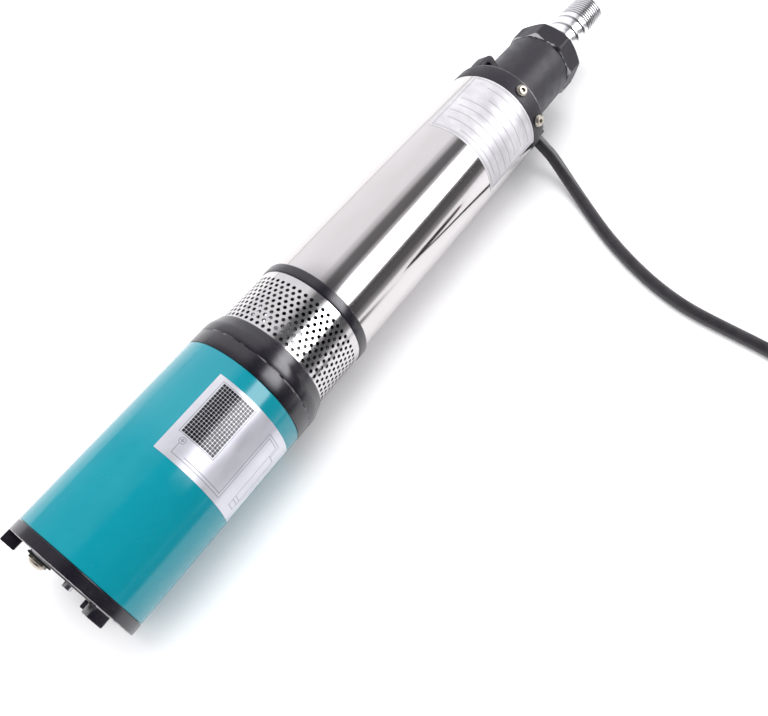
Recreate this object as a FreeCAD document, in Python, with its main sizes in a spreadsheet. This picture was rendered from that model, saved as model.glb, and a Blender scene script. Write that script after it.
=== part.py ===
import FreeCAD, Part
import math
import os
import re
import Sketcher
from FreeCAD import Placement, Rotation, Vector

# A submersible screw pump lying on its side. The pump's axis runs along +X from the feet to the outlet,
# +Z is up, and the barrel rests on the plane z = 0. Stations along the axis are counted from the tips of
# the feet, and angles about the axis from +Y towards +Z. Sizes are millimetres and degrees.

doc = FreeCAD.newDocument("solar_well_pump")
sizes = doc.addObject("Spreadsheet::Sheet", "Sizes")
stations = doc.addObject("Spreadsheet::Sheet", "Stations")

DRIVING = {
    # Motor barrel and end cap
    "barrel_radius": 38.0,
    "barrel_wall": 2.0,
    "motor_length": 116.5,
    "foot_length": 5.8,
    "foot_depth": 8.4,
    "foot_angle": 15.0,
    "foot_turn": 142.0,
    "foot_count": 3,
    "cap_rim": 6.4,
    "cap_spigot": 12.0,
    "cap_floor": 7.0,
    "cap_wall": 4.0,
    "cap_pad_radius": 24.0,
    "cap_pad_rise": 0.8,
    "rim_chamfer": 0.8,
    "plug_turn": 27.0,
    "plug_offset": 17.9,
    "plug_shank": 3.0,
    "plug_flats": 10.0,
    "plug_hex": 1.8,
    "plug_dome": 1.8,
    "plug_depth": 5.5,
    "washer_radius": 7.0,
    "washer_thick": 1.2,
    "centre_hole": 2.0,
    "centre_head": 2.8,
    "centre_rise": 2.6,
    # Clearances
    "spigot_gap": 0.1,
    "seat_gap": 0.02,
    "screw_gap": 0.1,
    "seal_gap": 0.1,
    "ball_gap": 0.1,
    "screw_clearance": 0.3,
    "cord_gap": 0.1,
    "soft_gap": 0.3,
    # Seals of round section
    "cord_seal": 0.9,
    "seal_squeeze": 0.05,
    "groove_width": 2.4,
    "groove_start": 4.0,
    # Motor
    "bearing_wall": 2.8,
    "bearing_lip": 0.8,
    "lower_bore": 5.0,
    "lower_outer": 15.0,
    "lower_width": 9.0,
    "upper_bore": 6.0,
    "upper_outer": 16.0,
    "upper_width": 10.0,
    "bearing_cover": 5.0,
    "shaft_radius": 8.0,
    "shaft_collar": 7.4,
    "core_start": 34.0,
    "magnet_thick": 5.9,
    "slot_count": 12,
    "slot_width": 6.0,
    "slot_mouth": 2.4,
    "slot_depth": 14.0,
    "slot_liner": 0.25,
    "winding_end": 6.5,
    "air_gap": 0.6,
    "magnet_angle": 76.0,
    "magnet_count": 4,
    "magnet_margin": 2.0,
    "commutator_radius": 12.0,
    "commutator_length": 14.0,
    "commutator_clear": 0.75,
    "riser_radius": 14.5,
    "riser_length": 2.2,
    "bar_gap": 0.6,
    "brush_width": 6.0,
    "brush_length": 8.0,
    "brush_height": 14.0,
    "brush_box_wall": 1.5,
    "brush_plate": 3.0,
    # Top cover and intake flange
    "cover_rim": 9.2,
    "cover_spigot": 12.0,
    "cover_web": 1.0,
    "flange_rim": 5.4,
    "flange_taper": 7.6,
    "flange_web": 8.0,
    "strainer_seat": 5.0,
    "strainer_spigot": 4.0,
    "spigot_wall": 2.6,
    "seal_outer": 13.0,
    "seal_inner": 8.0,
    "seal_floor": 4.0,
    "seal_seat": 5.5,
    "seal_boss": 17.0,
    "seal_head": 11.5,
    "seal_length": 11.0,
    "shaft_passage": 9.0,
    "pillar_radius": 3.9,
    "pillar_inset": 5.5,
    "flange_seal_inset": 4.0,
    "bolt_turn_step": 30.0,
    "pillar_turn": 28.0,
    "pillar_count": 3,
    "screw_radius": 2.0,
    "screw_head": 3.2,
    "screw_head_height": 3.0,
    "screw_reach": 8.0,
    # Strainer and barrel ring
    "strainer_step": 3.5,
    "strainer_wall": 0.8,
    "strainer_length": 34.9,
    "hole_radius": 1.8,
    "hole_row_pitch": 6.4,
    "hole_columns": 20,
    "ring_step": 0.5,
    "ring_length": 6.5,
    "ring_spigot": 12.0,
    "ring_throat": 21.0,
    # Drive and screw
    "coupling_radius": 11.0,
    "coupling_start": 22.6,
    "coupling_bore_length": 5.5,
    "coupling_web": 1.4,
    "ball_radius": 7.0,
    "cap_hole": 5.4,
    "cap_thick": 2.8,
    "rod_radius": 4.0,
    "rod_length": 40.0,
    "eccentricity": 2.5,
    "screw_section": 8.0,
    "screw_turns": 3.0,
    "rotor_neck": 4.4,
    "stator_setback": 2.0,
    "sleeve_wall": 1.2,
    "riser_room": 8.3,
    "sleeve_seat": 10.0,
    # Pump barrel and head
    "tube_step": 4.5,
    "tube_wall": 1.2,
    "tube_length": 176.2,
    "adapter_depth": 16.5,
    "adapter_rise": 9.6,
    "adapter_step": 2.5,
    "adapter_throat": 20.0,
    "skirt_length": 12.4,
    "shoulder_step": 1.6,
    "shoulder_rise": 1.7,
    "rim_round": 0.8,
    "crown_step": 7.4,
    "crown_rise": 0.8,
    "crown_length": 3.0,
    "neck_radius": 23.2,
    "neck_length": 42.9,
    "neck_draft": 0.5,
    "head_throat": 11.0,
    "head_screw_rise": 6.7,
    "head_screw_turn": 116.3,
    "head_screw_step": 38.0,
    "head_screw_head": 3.5,
    "head_screw_height": 2.3,
    "head_screw_length": 7.0,
    "socket_flats": 2.5,
    "socket_depth": 1.4,
    "lug_turn": 45.0,
    "lug_top": 30.5,
    "lug_width": 8.0,
    "lug_length": 14.5,
    "lug_sink": 1.0,
    "lug_hole": 2.4,
    "lug_hole_run": 8.8,
    "lug_hole_rise": 26.4,
    # Check valve
    "valve_radius": 14.2,
    "valve_rise": 17.8,
    "valve_seat_thick": 3.0,
    "valve_opening": 9.0,
    "poppet_radius": 11.5,
    "poppet_thick": 2.4,
    "stem_radius": 2.5,
    "stem_length": 23.5,
    "retainer_start": 19.0,
    "retainer_thick": 3.0,
    "retainer_hub": 5.0,
    "retainer_rib": 2.6,
    "spring_radius": 6.0,
    "spring_wire": 0.7,
    "spring_turns": 5,
    # Outlet nut and hose tail
    "thread_radius": 19.0,
    "thread_length": 9.0,
    "nut_flats": 45.0,
    "nut_sides": 8,
    "nut_turn": 28.0,
    "nut_length": 16.5,
    "nut_chamfer": 1.6,
    "nut_lip": 3.4,
    "gasket_thick": 1.2,
    "collar_radius": 17.0,
    "collar_thick": 3.0,
    "tail_radius": 13.0,
    "tail_bore": 8.5,
    "tail_tip": 11.2,
    "tail_shank": 12.3,
    "barb_pitch": 8.6,
    "barb_count": 3,
    "barb_step": 4.8,
    "tip_barb_pitch": 5.3,
    "tip_barb_count": 4,
    "barb_depth": 0.9,
    # Cable
    "cable_radius": 3.9,
    "cable_turn": 208.0,
    "cable_rise": 20.0,
    "gland_radius": 6.0,
    "gland_inset": 2.4,
    "gland_boss": 1.4,
    "gland_foot": 4.0,
    "gland_sink": 2.8,
    "gland_lip": 7.0,
    "riser_wire": 2.6,
    "riser_inset": 3.3,
    "coil_radius": 43.0,
    "coil_turns_wide": 3,
    "coil_turns_high": 2,
    "tie_thick": 1.0,
    "tie_width": 8.0,
    "tie_turn": 270.0,
    "notch_angle": 40.0,
    "notch_turn": 25.0,
    "lead_radius": 1.4,
    "lead_gap": 0.2,
    "lead_length": 22.0,
    "wire_tip_radius": 0.7,
    "wire_tip_length": 8.0,
}

DERIVED = {
    "bore_radius": "barrel_radius - barrel_wall",
    "spigot_radius": "bore_radius - spigot_gap",
    "seal_circle": "bore_radius - seal_squeeze - cord_seal",
    "groove_radius": "bore_radius - 2 * (seal_squeeze + cord_seal)",
    "cap_face": "foot_length",
    "cap_pad_face": "cap_face - cap_pad_rise",
    "barrel_start": "cap_face + cap_rim",
    "barrel_end": "barrel_start + motor_length",
    "cap_inner": "cap_face + cap_floor",
    "cap_end": "barrel_start + cap_spigot",
    "lower_seat": "cap_inner + 1",
    "lower_end": "lower_seat + lower_width",
    "cover_top": "barrel_end + cover_rim",
    "cover_inner": "barrel_end - cover_spigot",
    "commutator_end": "cover_inner - brush_plate - commutator_clear",
    "commutator_start": "commutator_end - commutator_length",
    "riser_start": "commutator_start - riser_length",
    "core_end": "riser_start - winding_end - slot_liner",
    "core_length": "core_end - core_start",
    "core_radius": "bore_radius - spigot_gap - magnet_thick - air_gap",
    "winding_radius": "core_radius - slot_mouth",
    "upper_seat": "cover_top - bearing_cover + 1",
    "upper_start": "upper_seat - upper_width",
    "flange_floor": "cover_top + flange_web",
    "flange_edge": "cover_top + flange_rim",
    "flange_top": "flange_edge + flange_taper",
    "seal_face": "cover_top + seal_floor + seal_seat",
    "ring_start": "flange_top + strainer_length",
    "ring_end": "ring_start + ring_length",
    "strainer_radius": "barrel_radius - strainer_step",
    "strainer_bore": "strainer_radius - strainer_wall",
    "insert_radius": "strainer_bore - spigot_gap",
    "ring_radius": "strainer_radius + ring_step",
    "pillar_circle": "insert_radius - pillar_inset",
    "flange_seal_circle": "barrel_radius - flange_seal_inset",
    "flange_bolt_circle": "seal_boss + screw_head + soft_gap",
    "tube_radius": "barrel_radius - tube_step",
    "tube_bore": "tube_radius - tube_wall",
    "tube_end": "ring_end + tube_length",
    "coupling_face": "cover_top + coupling_start",
    "shaft_end": "coupling_face + coupling_bore_length - 0.2",
    "socket_radius": "ball_radius + ball_gap",
    "lower_ball": "coupling_face + coupling_bore_length + coupling_web + socket_radius",
    "ball_reach": "ball_radius * 0.67",
    "coupling_end": "lower_ball + ball_reach",
    "upper_ball": "lower_ball + rod_length",
    "rotor_start": "upper_ball - ball_reach",
    "sleeve_radius": "tube_bore - riser_room",
    "stator_radius": "sleeve_radius - sleeve_wall",
    "riser_circle": "sleeve_radius + riser_inset",
    "sleeve_start": "ring_end + ring_spigot - sleeve_seat",
    "adapter_start": "tube_end - adapter_depth",
    "sleeve_end": "adapter_start + adapter_depth / 3",
    "adapter_end": "tube_end + adapter_rise",
    "helix_start": "upper_ball + socket_radius + rotor_neck",
    "helix_end": "adapter_start",
    "screw_pitch": "(helix_end - helix_start) / screw_turns",
    "stator_start": "helix_start + stator_setback",
    "stator_end": "helix_end - stator_setback",
    "adapter_radius": "tube_radius - adapter_step",
    "skirt_bore": "adapter_radius + spigot_gap",
    "skirt_radius": "tube_radius - spigot_gap",
    "shoulder_radius": "skirt_radius - shoulder_step",
    "crown_radius": "skirt_radius - crown_step",
    "gland_outer": "skirt_radius - gland_inset",
    "gland_inner": "riser_circle - gland_sink",
    "skirt_end": "tube_end + skirt_length",
    "shoulder_end": "skirt_end + shoulder_rise",
    "crown_end": "shoulder_end + crown_rise",
    "neck_start": "crown_end + crown_length",
    "neck_end": "neck_start + neck_length",
    "valve_ledge": "neck_start + valve_rise",
    "valve_face": "valve_ledge + valve_seat_thick",
    "retainer_face": "valve_face + retainer_start",
    "thread_end": "neck_end + thread_length",
    "gasket_end": "thread_end + gasket_thick",
    "collar_end": "gasket_end + collar_thick",
    "nut_start": "neck_end + spigot_gap",
    "nut_end": "nut_start + nut_length",
    "barb_start": "collar_end + tail_shank",
    "tip_barb_start": "barb_start + barb_pitch * (barb_count - 1) + barb_step",
    "tail_end": "tip_barb_start + tip_barb_pitch * tip_barb_count",
    "middle": "tail_end / 2",
    "cable_station": "tube_end + cable_rise",
}

for row, (name, number) in enumerate(DRIVING.items(), start=1):
    sizes.set("A%d" % row, name)
    sizes.set("B%d" % row, str(number))
    sizes.setAlias("B%d" % row, name)
doc.recompute()


def bound(text):
    """The text of a size, with each name written as a reference to its cell."""

    def cell(word):
        name = word.group()
        if name in DRIVING:
            return "Sizes." + name
        return "Stations." + name if name in DERIVED else name

    return re.sub(r"[a-z_]+", cell, str(text))


for row, (name, formula) in enumerate(DERIVED.items(), start=1):
    stations.set("A%d" % row, name)
    stations.set("B%d" % row, "=" + bound(formula).replace("Stations.", ""))
    stations.setAlias("B%d" % row, name)
doc.recompute()


def number(text):
    """The present value of a size or a sum of sizes."""
    return float(sizes.evalExpression(bound(text)))


def outward(turn):
    """The unit vector square to the pump's axis at an angle about it."""
    return Vector(0, math.cos(math.radians(turn)), math.sin(math.radians(turn)))


PARTS = []


def place(part, label):
    """Name a sub-part and set it on the floor plane, centred on the pump's length."""
    part.Label = label
    part.setExpression("Placement.Base.x", bound("-middle"))
    part.setExpression("Placement.Base.z", bound("barrel_radius"))
    PARTS.append(part)
    return part


def origin_feature(body, role):
    """The body's own origin plane or axis."""
    for feature in body.Origin.OriginFeatures:
        if feature.Role == role:
            return feature
    raise ValueError(role)


def closed_sketch(body, name, corners, plane, offset="0"):
    """A closed outline of straight sides whose corners are bound to the sheets."""
    sketch = body.newObject("Sketcher::SketchObject", name)
    sketch.AttachmentSupport = [(origin_feature(body, plane), "")]
    sketch.MapMode = "FlatFace"
    if offset != "0":
        sketch.setExpression("AttachmentOffset.Base.z", bound(offset))
    points = [Vector(number(across), number(up), 0) for across, up in corners]
    count = len(points)
    for index in range(count):
        sketch.addGeometry(Part.LineSegment(points[index], points[(index + 1) % count]), False)
    for index in range(count):
        sketch.addConstraint(Sketcher.Constraint("Coincident", index, 2, (index + 1) % count, 1))
    for index, (across, up) in enumerate(corners):
        if str(up) == "0":
            sketch.addConstraint(Sketcher.Constraint("PointOnObject", index, 1, -1))
        else:
            row = sketch.addConstraint(Sketcher.Constraint("DistanceY", -1, 1, index, 1, points[index].y))
            sketch.setExpression("Constraints[%d]" % row, bound(up))
        if str(across) == "0":
            sketch.addConstraint(Sketcher.Constraint("PointOnObject", index, 1, -2))
        else:
            row = sketch.addConstraint(Sketcher.Constraint("DistanceX", -1, 1, index, 1, points[index].x))
            sketch.setExpression("Constraints[%d]" % row, bound(across))
    return sketch


def turned(label, corners):
    """A body turned about the pump's axis from corners of (station, radius)."""
    body = doc.addObject("PartDesign::Body", label)
    sketch = closed_sketch(body, label + "_profile", corners, "XZ_Plane")
    revolution = body.newObject("PartDesign::Revolution", label + "_turned")
    revolution.Profile = sketch
    revolution.ReferenceAxis = (sketch, ["H_Axis"])
    revolution.Angle = 360
    doc.recompute()
    return body


def soften(body, name, spots, size, kind="PartDesign::Fillet"):
    """Round or chamfer the circular edges at the given stations and radii."""
    base = body.Tip
    chosen = []
    for station, radius in spots:
        for index, edge in enumerate(base.Shape.Edges, start=1):
            curve = edge.Curve
            if not isinstance(curve, Part.Circle) or len(edge.Vertexes) != 1:
                continue
            if abs(curve.Center.x - number(station)) < 0.01 and abs(curve.Radius - number(radius)) < 0.01:
                chosen.append("Edge%d" % index)
    feature = body.newObject(kind, name)
    feature.Base = (base, chosen)
    key = "Radius" if kind.endswith("Fillet") else "Size"
    feature.setExpression(key, bound(size))
    body.Tip = feature
    doc.recompute()
    return feature


def must_change(body, before, sign):
    """Stop if a feature left the body's volume as it was."""
    doc.recompute()
    if sign * (body.Shape.Volume - before) <= 0:
        raise ValueError(body.Label + " kept its volume at " + body.Tip.Name)


def bore(body, name, centre, radius, length, direction=Vector(1, 0, 0)):
    """Cut a round hole from a centre of three sizes along a direction."""
    before = body.Shape.Volume
    hole = body.newObject("PartDesign::SubtractiveCylinder", name)
    hole.setExpression("Radius", bound(radius))
    hole.setExpression("Height", bound(length))
    hole.Placement = Placement(Vector(), Rotation(Vector(0, 0, 1), direction))
    for axis, size in zip("xyz", centre):
        hole.setExpression("Placement.Base." + axis, bound(size))
    body.Tip = hole
    must_change(body, before, -1)
    return hole


def raised(body, name, centre, radius, length, direction=Vector(1, 0, 0)):
    """Add a round boss from a centre of three sizes along a direction."""
    before = body.Shape.Volume
    post = body.newObject("PartDesign::AdditiveCylinder", name)
    post.setExpression("Radius", bound(radius))
    post.setExpression("Height", bound(length))
    post.Placement = Placement(Vector(), Rotation(Vector(0, 0, 1), direction))
    for axis, size in zip("xyz", centre):
        post.setExpression("Placement.Base." + axis, bound(size))
    body.Tip = post
    must_change(body, before, 1)
    return post


def ball_seat(body, name, station):
    """Cut the round bottom of a ball's socket on the body's axis."""
    before = body.Shape.Volume
    hollow = body.newObject("PartDesign::SubtractiveSphere", name)
    hollow.setExpression("Radius", bound("socket_radius"))
    hollow.setExpression("Placement.Base.x", bound(station))
    body.Tip = hollow
    must_change(body, before, -1)


def around(body, name, feature, count):
    """Repeat a feature evenly about the pump's axis."""
    before = body.Shape.Volume
    sign = -1 if "Subtractive" in feature.TypeId or "Pocket" in feature.TypeId else 1
    pattern = body.newObject("PartDesign::PolarPattern", name)
    pattern.Originals = [feature]
    pattern.Axis = (origin_feature(body, "X_Axis"), [""])
    pattern.Angle = 360
    pattern.setExpression("Occurrences", bound(count))
    body.Tip = pattern
    must_change(body, before, sign)
    return pattern


def pad(body, name, corners, start, length):
    """Raise an outline in the plane across the axis, along +X."""
    sketch = closed_sketch(body, name + "_outline", corners, "YZ_Plane", start)
    feature = body.newObject("PartDesign::Pad", name)
    feature.Profile = sketch
    feature.setExpression("Length", bound(length))
    body.Tip = feature
    doc.recompute()
    return feature


def pocket(body, name, corners, start, length):
    """Cut an outline in the plane across the axis, along +X."""
    before = body.Shape.Volume
    sketch = closed_sketch(body, name + "_outline", corners, "YZ_Plane", start)
    feature = body.newObject("PartDesign::Pocket", name)
    feature.Profile = sketch
    feature.Reversed = True
    feature.setExpression("Length", bound(length))
    body.Tip = feature
    must_change(body, before, -1)
    return feature


def rod(name, radius, length, base, direction=Vector(1, 0, 0)):
    """A plain cylinder from a base of three sizes along a direction."""
    part = doc.addObject("Part::Cylinder", name)
    part.setExpression("Radius", bound(radius))
    part.setExpression("Height", bound(length))
    part.Placement = Placement(Vector(), Rotation(Vector(0, 0, 1), direction))
    for axis, size in zip("xyz", base):
        part.setExpression("Placement.Base." + axis, bound(size))
    return part


def joined(name, pieces):
    """Several overlapping pieces as one solid."""
    whole = doc.addObject("Part::MultiFuse", name)
    whole.Shapes = pieces
    whole.Refine = True
    return whole


def group(name, pieces):
    """Several separate solids in one sub-part."""
    whole = doc.addObject("Part::Compound", name)
    whole.Links = pieces
    return whole


def less(name, base, tool):
    """One piece with another cut away."""
    rest = doc.addObject("Part::Cut", name)
    rest.Base = base
    rest.Tool = tool
    return rest


def block(name, corner, extent):
    """A box from its lowest corner and its three sides."""
    part = doc.addObject("Part::Box", name)
    for axis, size in zip("xyz", corner):
        part.setExpression("Placement.Base." + axis, bound(size))
    for side, size in zip(("Length", "Width", "Height"), extent):
        part.setExpression(side, bound(size))
    return part


def sector(name, inner, outer, start, length, angle, turn):
    """A piece of a ring, centred on an angle about the pump's axis."""
    lie_down = Rotation(Vector(1, 1, 1), 120)
    solid = doc.addObject("Part::Cylinder", name + "_outer")
    solid.setExpression("Radius", bound(outer))
    solid.setExpression("Height", bound(length))
    solid.setExpression("Angle", bound(angle))
    core = doc.addObject("Part::Cylinder", name + "_inner")
    core.setExpression("Radius", bound(inner))
    core.setExpression("Height", bound(length))
    piece = less(name, solid, core)
    spin = Rotation(Vector(1, 0, 0), number(turn) - number(angle) / 2)
    piece.Placement = Placement(Vector(), spin * lie_down)
    piece.setExpression("Placement.Base.x", bound(start))
    return piece


def seal_ring(label, circle, station):
    """A rubber ring of round section about the pump's axis."""
    ring = doc.addObject("Part::Torus", label + "_round")
    ring.setExpression("Radius1", bound(circle))
    ring.setExpression("Radius2", bound("cord_seal"))
    ring.Placement = Placement(Vector(), Rotation(Vector(0, 1, 0), 90))
    holder = group(label + "_set", [ring])
    ring.setExpression("Placement.Base.x", bound(station))
    return place(holder, label)


def across(circle, turn):
    """The two sizes that put something on a circle about the axis."""
    return ("%s * cos(%s)" % (circle, turn), "%s * sin(%s)" % (circle, turn))


def screw(name, seat, direction, head, rise, shank, reach, flats="", depth=""):
    """A cap screw with its head on a seat, pointing out along a direction."""
    back = "-1 * (%s)" % reach
    shift = [number(back) * part for part in direction]
    under = ["%s + (%.6f)" % (size, step) for size, step in zip(seat, shift)]
    pieces = [rod(name + "_head", head, rise, seat, direction), rod(name + "_shank", shank, reach, under, direction)]
    whole = joined(name + "_solid", pieces)
    if not flats:
        return whole
    key = doc.addObject("Part::Prism", name + "_key")
    key.Polygon = 6
    key.setExpression("Circumradius", bound(flats + " / sqrt(3)"))
    key.setExpression("Height", bound(depth))
    key.Placement = Placement(Vector(), Rotation(Vector(0, 0, 1), direction))
    for axis, size, part in zip("xyz", seat, direction):
        key.setExpression("Placement.Base." + axis, bound("%s + (%s - %s) * (%.6f)" % (size, rise, depth, part)))
    return less(name, whole, key)


# The end cap closes the motor barrel's lower end and carries three feet and the lower bearing.
end_cap_body = turned("end_cap_body", [
    ("cap_pad_face", "centre_hole"),
    ("cap_pad_face", "cap_pad_radius"),
    ("cap_face", "cap_pad_radius"),
    ("cap_face", "barrel_radius"),
    ("barrel_start", "barrel_radius"),
    ("barrel_start", "spigot_radius"),
    ("barrel_start + groove_start", "spigot_radius"),
    ("barrel_start + groove_start", "groove_radius"),
    ("barrel_start + groove_start + groove_width", "groove_radius"),
    ("barrel_start + groove_start + groove_width", "spigot_radius"),
    ("cap_end", "spigot_radius"),
    ("cap_end", "bore_radius - cap_wall"),
    ("cap_inner", "bore_radius - cap_wall"),
    ("cap_inner", "lower_outer + cap_wall"),
    ("lower_end", "lower_outer + cap_wall"),
    ("lower_end", "lower_outer + seat_gap"),
    ("lower_seat", "lower_outer + seat_gap"),
    ("lower_seat", "lower_outer - bearing_wall"),
    ("lower_seat - 1", "lower_outer - bearing_wall"),
    ("lower_seat - 1", "centre_hole"),
])
soften(end_cap_body, "cap_rim_chamfer", [("cap_face", "barrel_radius")], "rim_chamfer", "PartDesign::Chamfer")
bore(end_cap_body, "plug_hole", ("cap_pad_face", *across("plug_offset", "plug_turn")),
     "plug_shank + screw_gap", "plug_depth + 0.3")
feet = [
    sector("foot_%d" % step, "barrel_radius - foot_depth", "barrel_radius", "0", "foot_length + cap_rim / 2",
           "foot_angle", "foot_turn + 360 / foot_count * %d" % step)
    for step in range(int(DRIVING["foot_count"]))
]
place(joined("end_cap_solid", [end_cap_body] + feet), "end_cap")
seal_ring("cap_oring", "seal_circle", "barrel_start + groove_start + groove_width / 2")

plug_seat = ("cap_pad_face - washer_thick", *across("plug_offset", "plug_turn"))
washer_outer = rod("washer_outer", "washer_radius", "washer_thick", plug_seat)
washer_inner = rod("washer_inner", "plug_shank + screw_gap", "washer_thick", plug_seat)
place(less("washer_solid", washer_outer, washer_inner), "plug_washer")

plug_hex = doc.addObject("Part::Prism", "plug_hex_block")
plug_hex.Polygon = 6
plug_hex.setExpression("Circumradius", bound("plug_flats / sqrt(3)"))
plug_hex.setExpression("Height", bound("plug_hex"))
plug_hex.Placement = Placement(Vector(), Rotation(Vector(0, 1, 0), 90))
for axis, size in zip("xyz", ("cap_pad_face - washer_thick - plug_hex", *across("plug_offset", "plug_turn"))):
    plug_hex.setExpression("Placement.Base." + axis, bound(size))
plug_dome = doc.addObject("Part::Ellipsoid", "plug_dome_block")
plug_dome.setExpression("Radius1", bound("plug_dome"))
plug_dome.setExpression("Radius2", bound("plug_flats / 2 - 0.3"))
plug_dome.setExpression("Radius3", bound("plug_flats / 2 - 0.3"))
plug_dome.Placement = Placement(Vector(), Rotation(Vector(0, 1, 0), -90))
for axis, size in zip("xyz", ("cap_pad_face - washer_thick - plug_hex", *across("plug_offset", "plug_turn"))):
    plug_dome.setExpression("Placement.Base." + axis, bound(size))
plug_shank = rod("plug_shank_rod", "plug_shank", "washer_thick + plug_depth", plug_seat)
place(joined("plug_solid", [plug_hex, plug_dome, plug_shank]), "fill_plug")

place(screw("centre_screw_cut", ("cap_pad_face", "0", "0"), Vector(-1, 0, 0), "centre_head", "centre_rise",
            "centre_hole - screw_gap", "cap_floor", "socket_flats", "socket_depth"), "centre_screw")

# The motor: barrel, magnets, armature, commutator, brushes, shaft and bearings.
place(turned("motor_barrel_body", [
    ("barrel_start", "bore_radius"),
    ("barrel_start", "barrel_radius"),
    ("barrel_end", "barrel_radius"),
    ("barrel_end", "bore_radius"),
]), "motor_barrel")

magnets = [
    sector("magnet_%d" % step, "core_radius + air_gap", "bore_radius - spigot_gap",
           "core_start - magnet_margin", "core_length + 2 * magnet_margin", "magnet_angle",
           "45 + 360 / magnet_count * %d" % step)
    for step in range(int(DRIVING["magnet_count"]))
]
place(group("magnet_set", magnets), "field_magnets")

core = turned("armature_core_body", [
    ("core_start", "shaft_radius + seat_gap"),
    ("core_start", "core_radius"),
    ("core_end", "core_radius"),
    ("core_end", "shaft_radius + seat_gap"),
])
slot = pocket(core, "armature_slot", [
    ("-slot_width / 2", "core_radius - slot_depth"),
    ("slot_width / 2", "core_radius - slot_depth"),
    ("slot_width / 2", "core_radius - slot_mouth"),
    ("slot_mouth / 2", "core_radius - slot_mouth / 2"),
    ("slot_mouth / 2", "core_radius + 1"),
    ("-slot_mouth / 2", "core_radius + 1"),
    ("-slot_mouth / 2", "core_radius - slot_mouth / 2"),
    ("-slot_width / 2", "core_radius - slot_mouth"),
], "core_start - 1", "core_length + 2")
around(core, "armature_slots", slot, "slot_count")
place(core, "armature_core")

winding = turned("armature_winding_body", [
    ("core_start - slot_liner - winding_end", "shaft_radius + 2"),
    ("core_start - slot_liner - winding_end", "winding_radius - 2"),
    ("core_start - slot_liner - winding_end / 2", "winding_radius"),
    ("core_start - slot_liner", "winding_radius - 1"),
    ("core_start - slot_liner", "shaft_radius + 2"),
])
coil_side = pad(winding, "coil_side", [
    ("-slot_width / 2 + slot_liner", "core_radius - slot_depth + slot_liner"),
    ("slot_width / 2 - slot_liner", "core_radius - slot_depth + slot_liner"),
    ("slot_width / 2 - slot_liner", "core_radius - slot_mouth - slot_liner"),
    ("-slot_width / 2 + slot_liner", "core_radius - slot_mouth - slot_liner"),
], "core_start - slot_liner - 1", "core_length + 2 * slot_liner + 2")
around(winding, "coil_sides", coil_side, "slot_count")
far_end = closed_sketch(winding, "far_end_profile", [
    ("core_end + slot_liner", "shaft_radius + 2"),
    ("core_end + slot_liner", "winding_radius - 1"),
    ("core_end + slot_liner + winding_end / 2", "winding_radius - 2"),
    ("core_end + slot_liner + winding_end - 0.5", "winding_radius - 6"),
    ("core_end + slot_liner + winding_end - 0.5", "shaft_radius + 2"),
], "XZ_Plane")
far_turn = winding.newObject("PartDesign::Revolution", "far_end_turned")
far_turn.Profile = far_end
far_turn.ReferenceAxis = (far_end, ["H_Axis"])
far_turn.Angle = 360
winding.Tip = far_turn
place(winding, "armature_winding")

commutator = turned("commutator_body", [
    ("riser_start", "shaft_radius + seat_gap"),
    ("riser_start", "riser_radius"),
    ("commutator_start", "riser_radius"),
    ("commutator_start", "commutator_radius"),
    ("commutator_end", "commutator_radius"),
    ("commutator_end", "shaft_radius + seat_gap"),
])
bar_slot = pocket(commutator, "bar_slot", [
    ("-bar_gap / 2", "commutator_radius - 1.4"),
    ("bar_gap / 2", "commutator_radius - 1.4"),
    ("bar_gap / 2", "riser_radius + 1"),
    ("-bar_gap / 2", "riser_radius + 1"),
], "riser_start - 1", "riser_length + commutator_length + 2")
around(commutator, "bar_slots", bar_slot, "slot_count")
place(commutator, "commutator")

brush_middle = "commutator_start + commutator_length / 2"
brushes = [
    block("brush_right", (brush_middle + " - brush_length / 2", "commutator_radius + air_gap / 2",
                          "-brush_width / 2"), ("brush_length", "brush_height", "brush_width")),
    block("brush_left", (brush_middle + " - brush_length / 2", "-commutator_radius - air_gap / 2 - brush_height",
                         "-brush_width / 2"), ("brush_length", "brush_height", "brush_width")),
]
place(group("brush_pair", brushes), "brushes")

plate_outer = rod("plate_outer", "spigot_radius", "brush_plate", ("cover_inner - brush_plate", "0", "0"))
plate_inner = rod("plate_inner", "riser_radius", "brush_plate", ("cover_inner - brush_plate", "0", "0"))
box_parts = [less("holder_plate", plate_outer, plate_inner)]
box_start = brush_middle + " - brush_length / 2 - brush_box_wall"
box_length = "cover_inner - (%s)" % box_start
for side, low in (("right", "riser_radius + 0.5"), ("left", "-riser_radius - 0.5 - brush_height")):
    outer_box = block("box_outer_" + side, (box_start, low, "-brush_width / 2 - brush_box_wall"),
                      (box_length + " - brush_plate / 2", "brush_height", "brush_width + 2 * brush_box_wall"))
    channel = block("box_channel_" + side,
                    (brush_middle + " - brush_length / 2 - seal_gap", low + " - 1", "-brush_width / 2 - seal_gap"),
                    ("brush_length + 2 * seal_gap", "brush_height + 2", "brush_width + 2 * seal_gap"))
    box_parts.append(less("brush_box_" + side, outer_box, channel))
place(joined("brush_holder_solid", box_parts), "brush_holder")

place(turned("motor_shaft_body", [
    ("lower_seat - 0.5", "0"),
    ("lower_seat - 0.5", "lower_bore - seat_gap"),
    ("lower_end", "lower_bore - seat_gap"),
    ("lower_end", "shaft_radius - 1"),
    ("core_start - slot_liner - winding_end - 1", "shaft_radius - 1"),
    ("core_start - slot_liner - winding_end - 1", "shaft_radius"),
    ("commutator_end + 0.5", "shaft_radius"),
    ("commutator_end + 0.5", "shaft_collar"),
    ("upper_start", "shaft_collar"),
    ("upper_start", "upper_bore - seat_gap"),
    ("shaft_end", "upper_bore - seat_gap"),
    ("shaft_end", "0"),
]), "motor_shaft")


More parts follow.
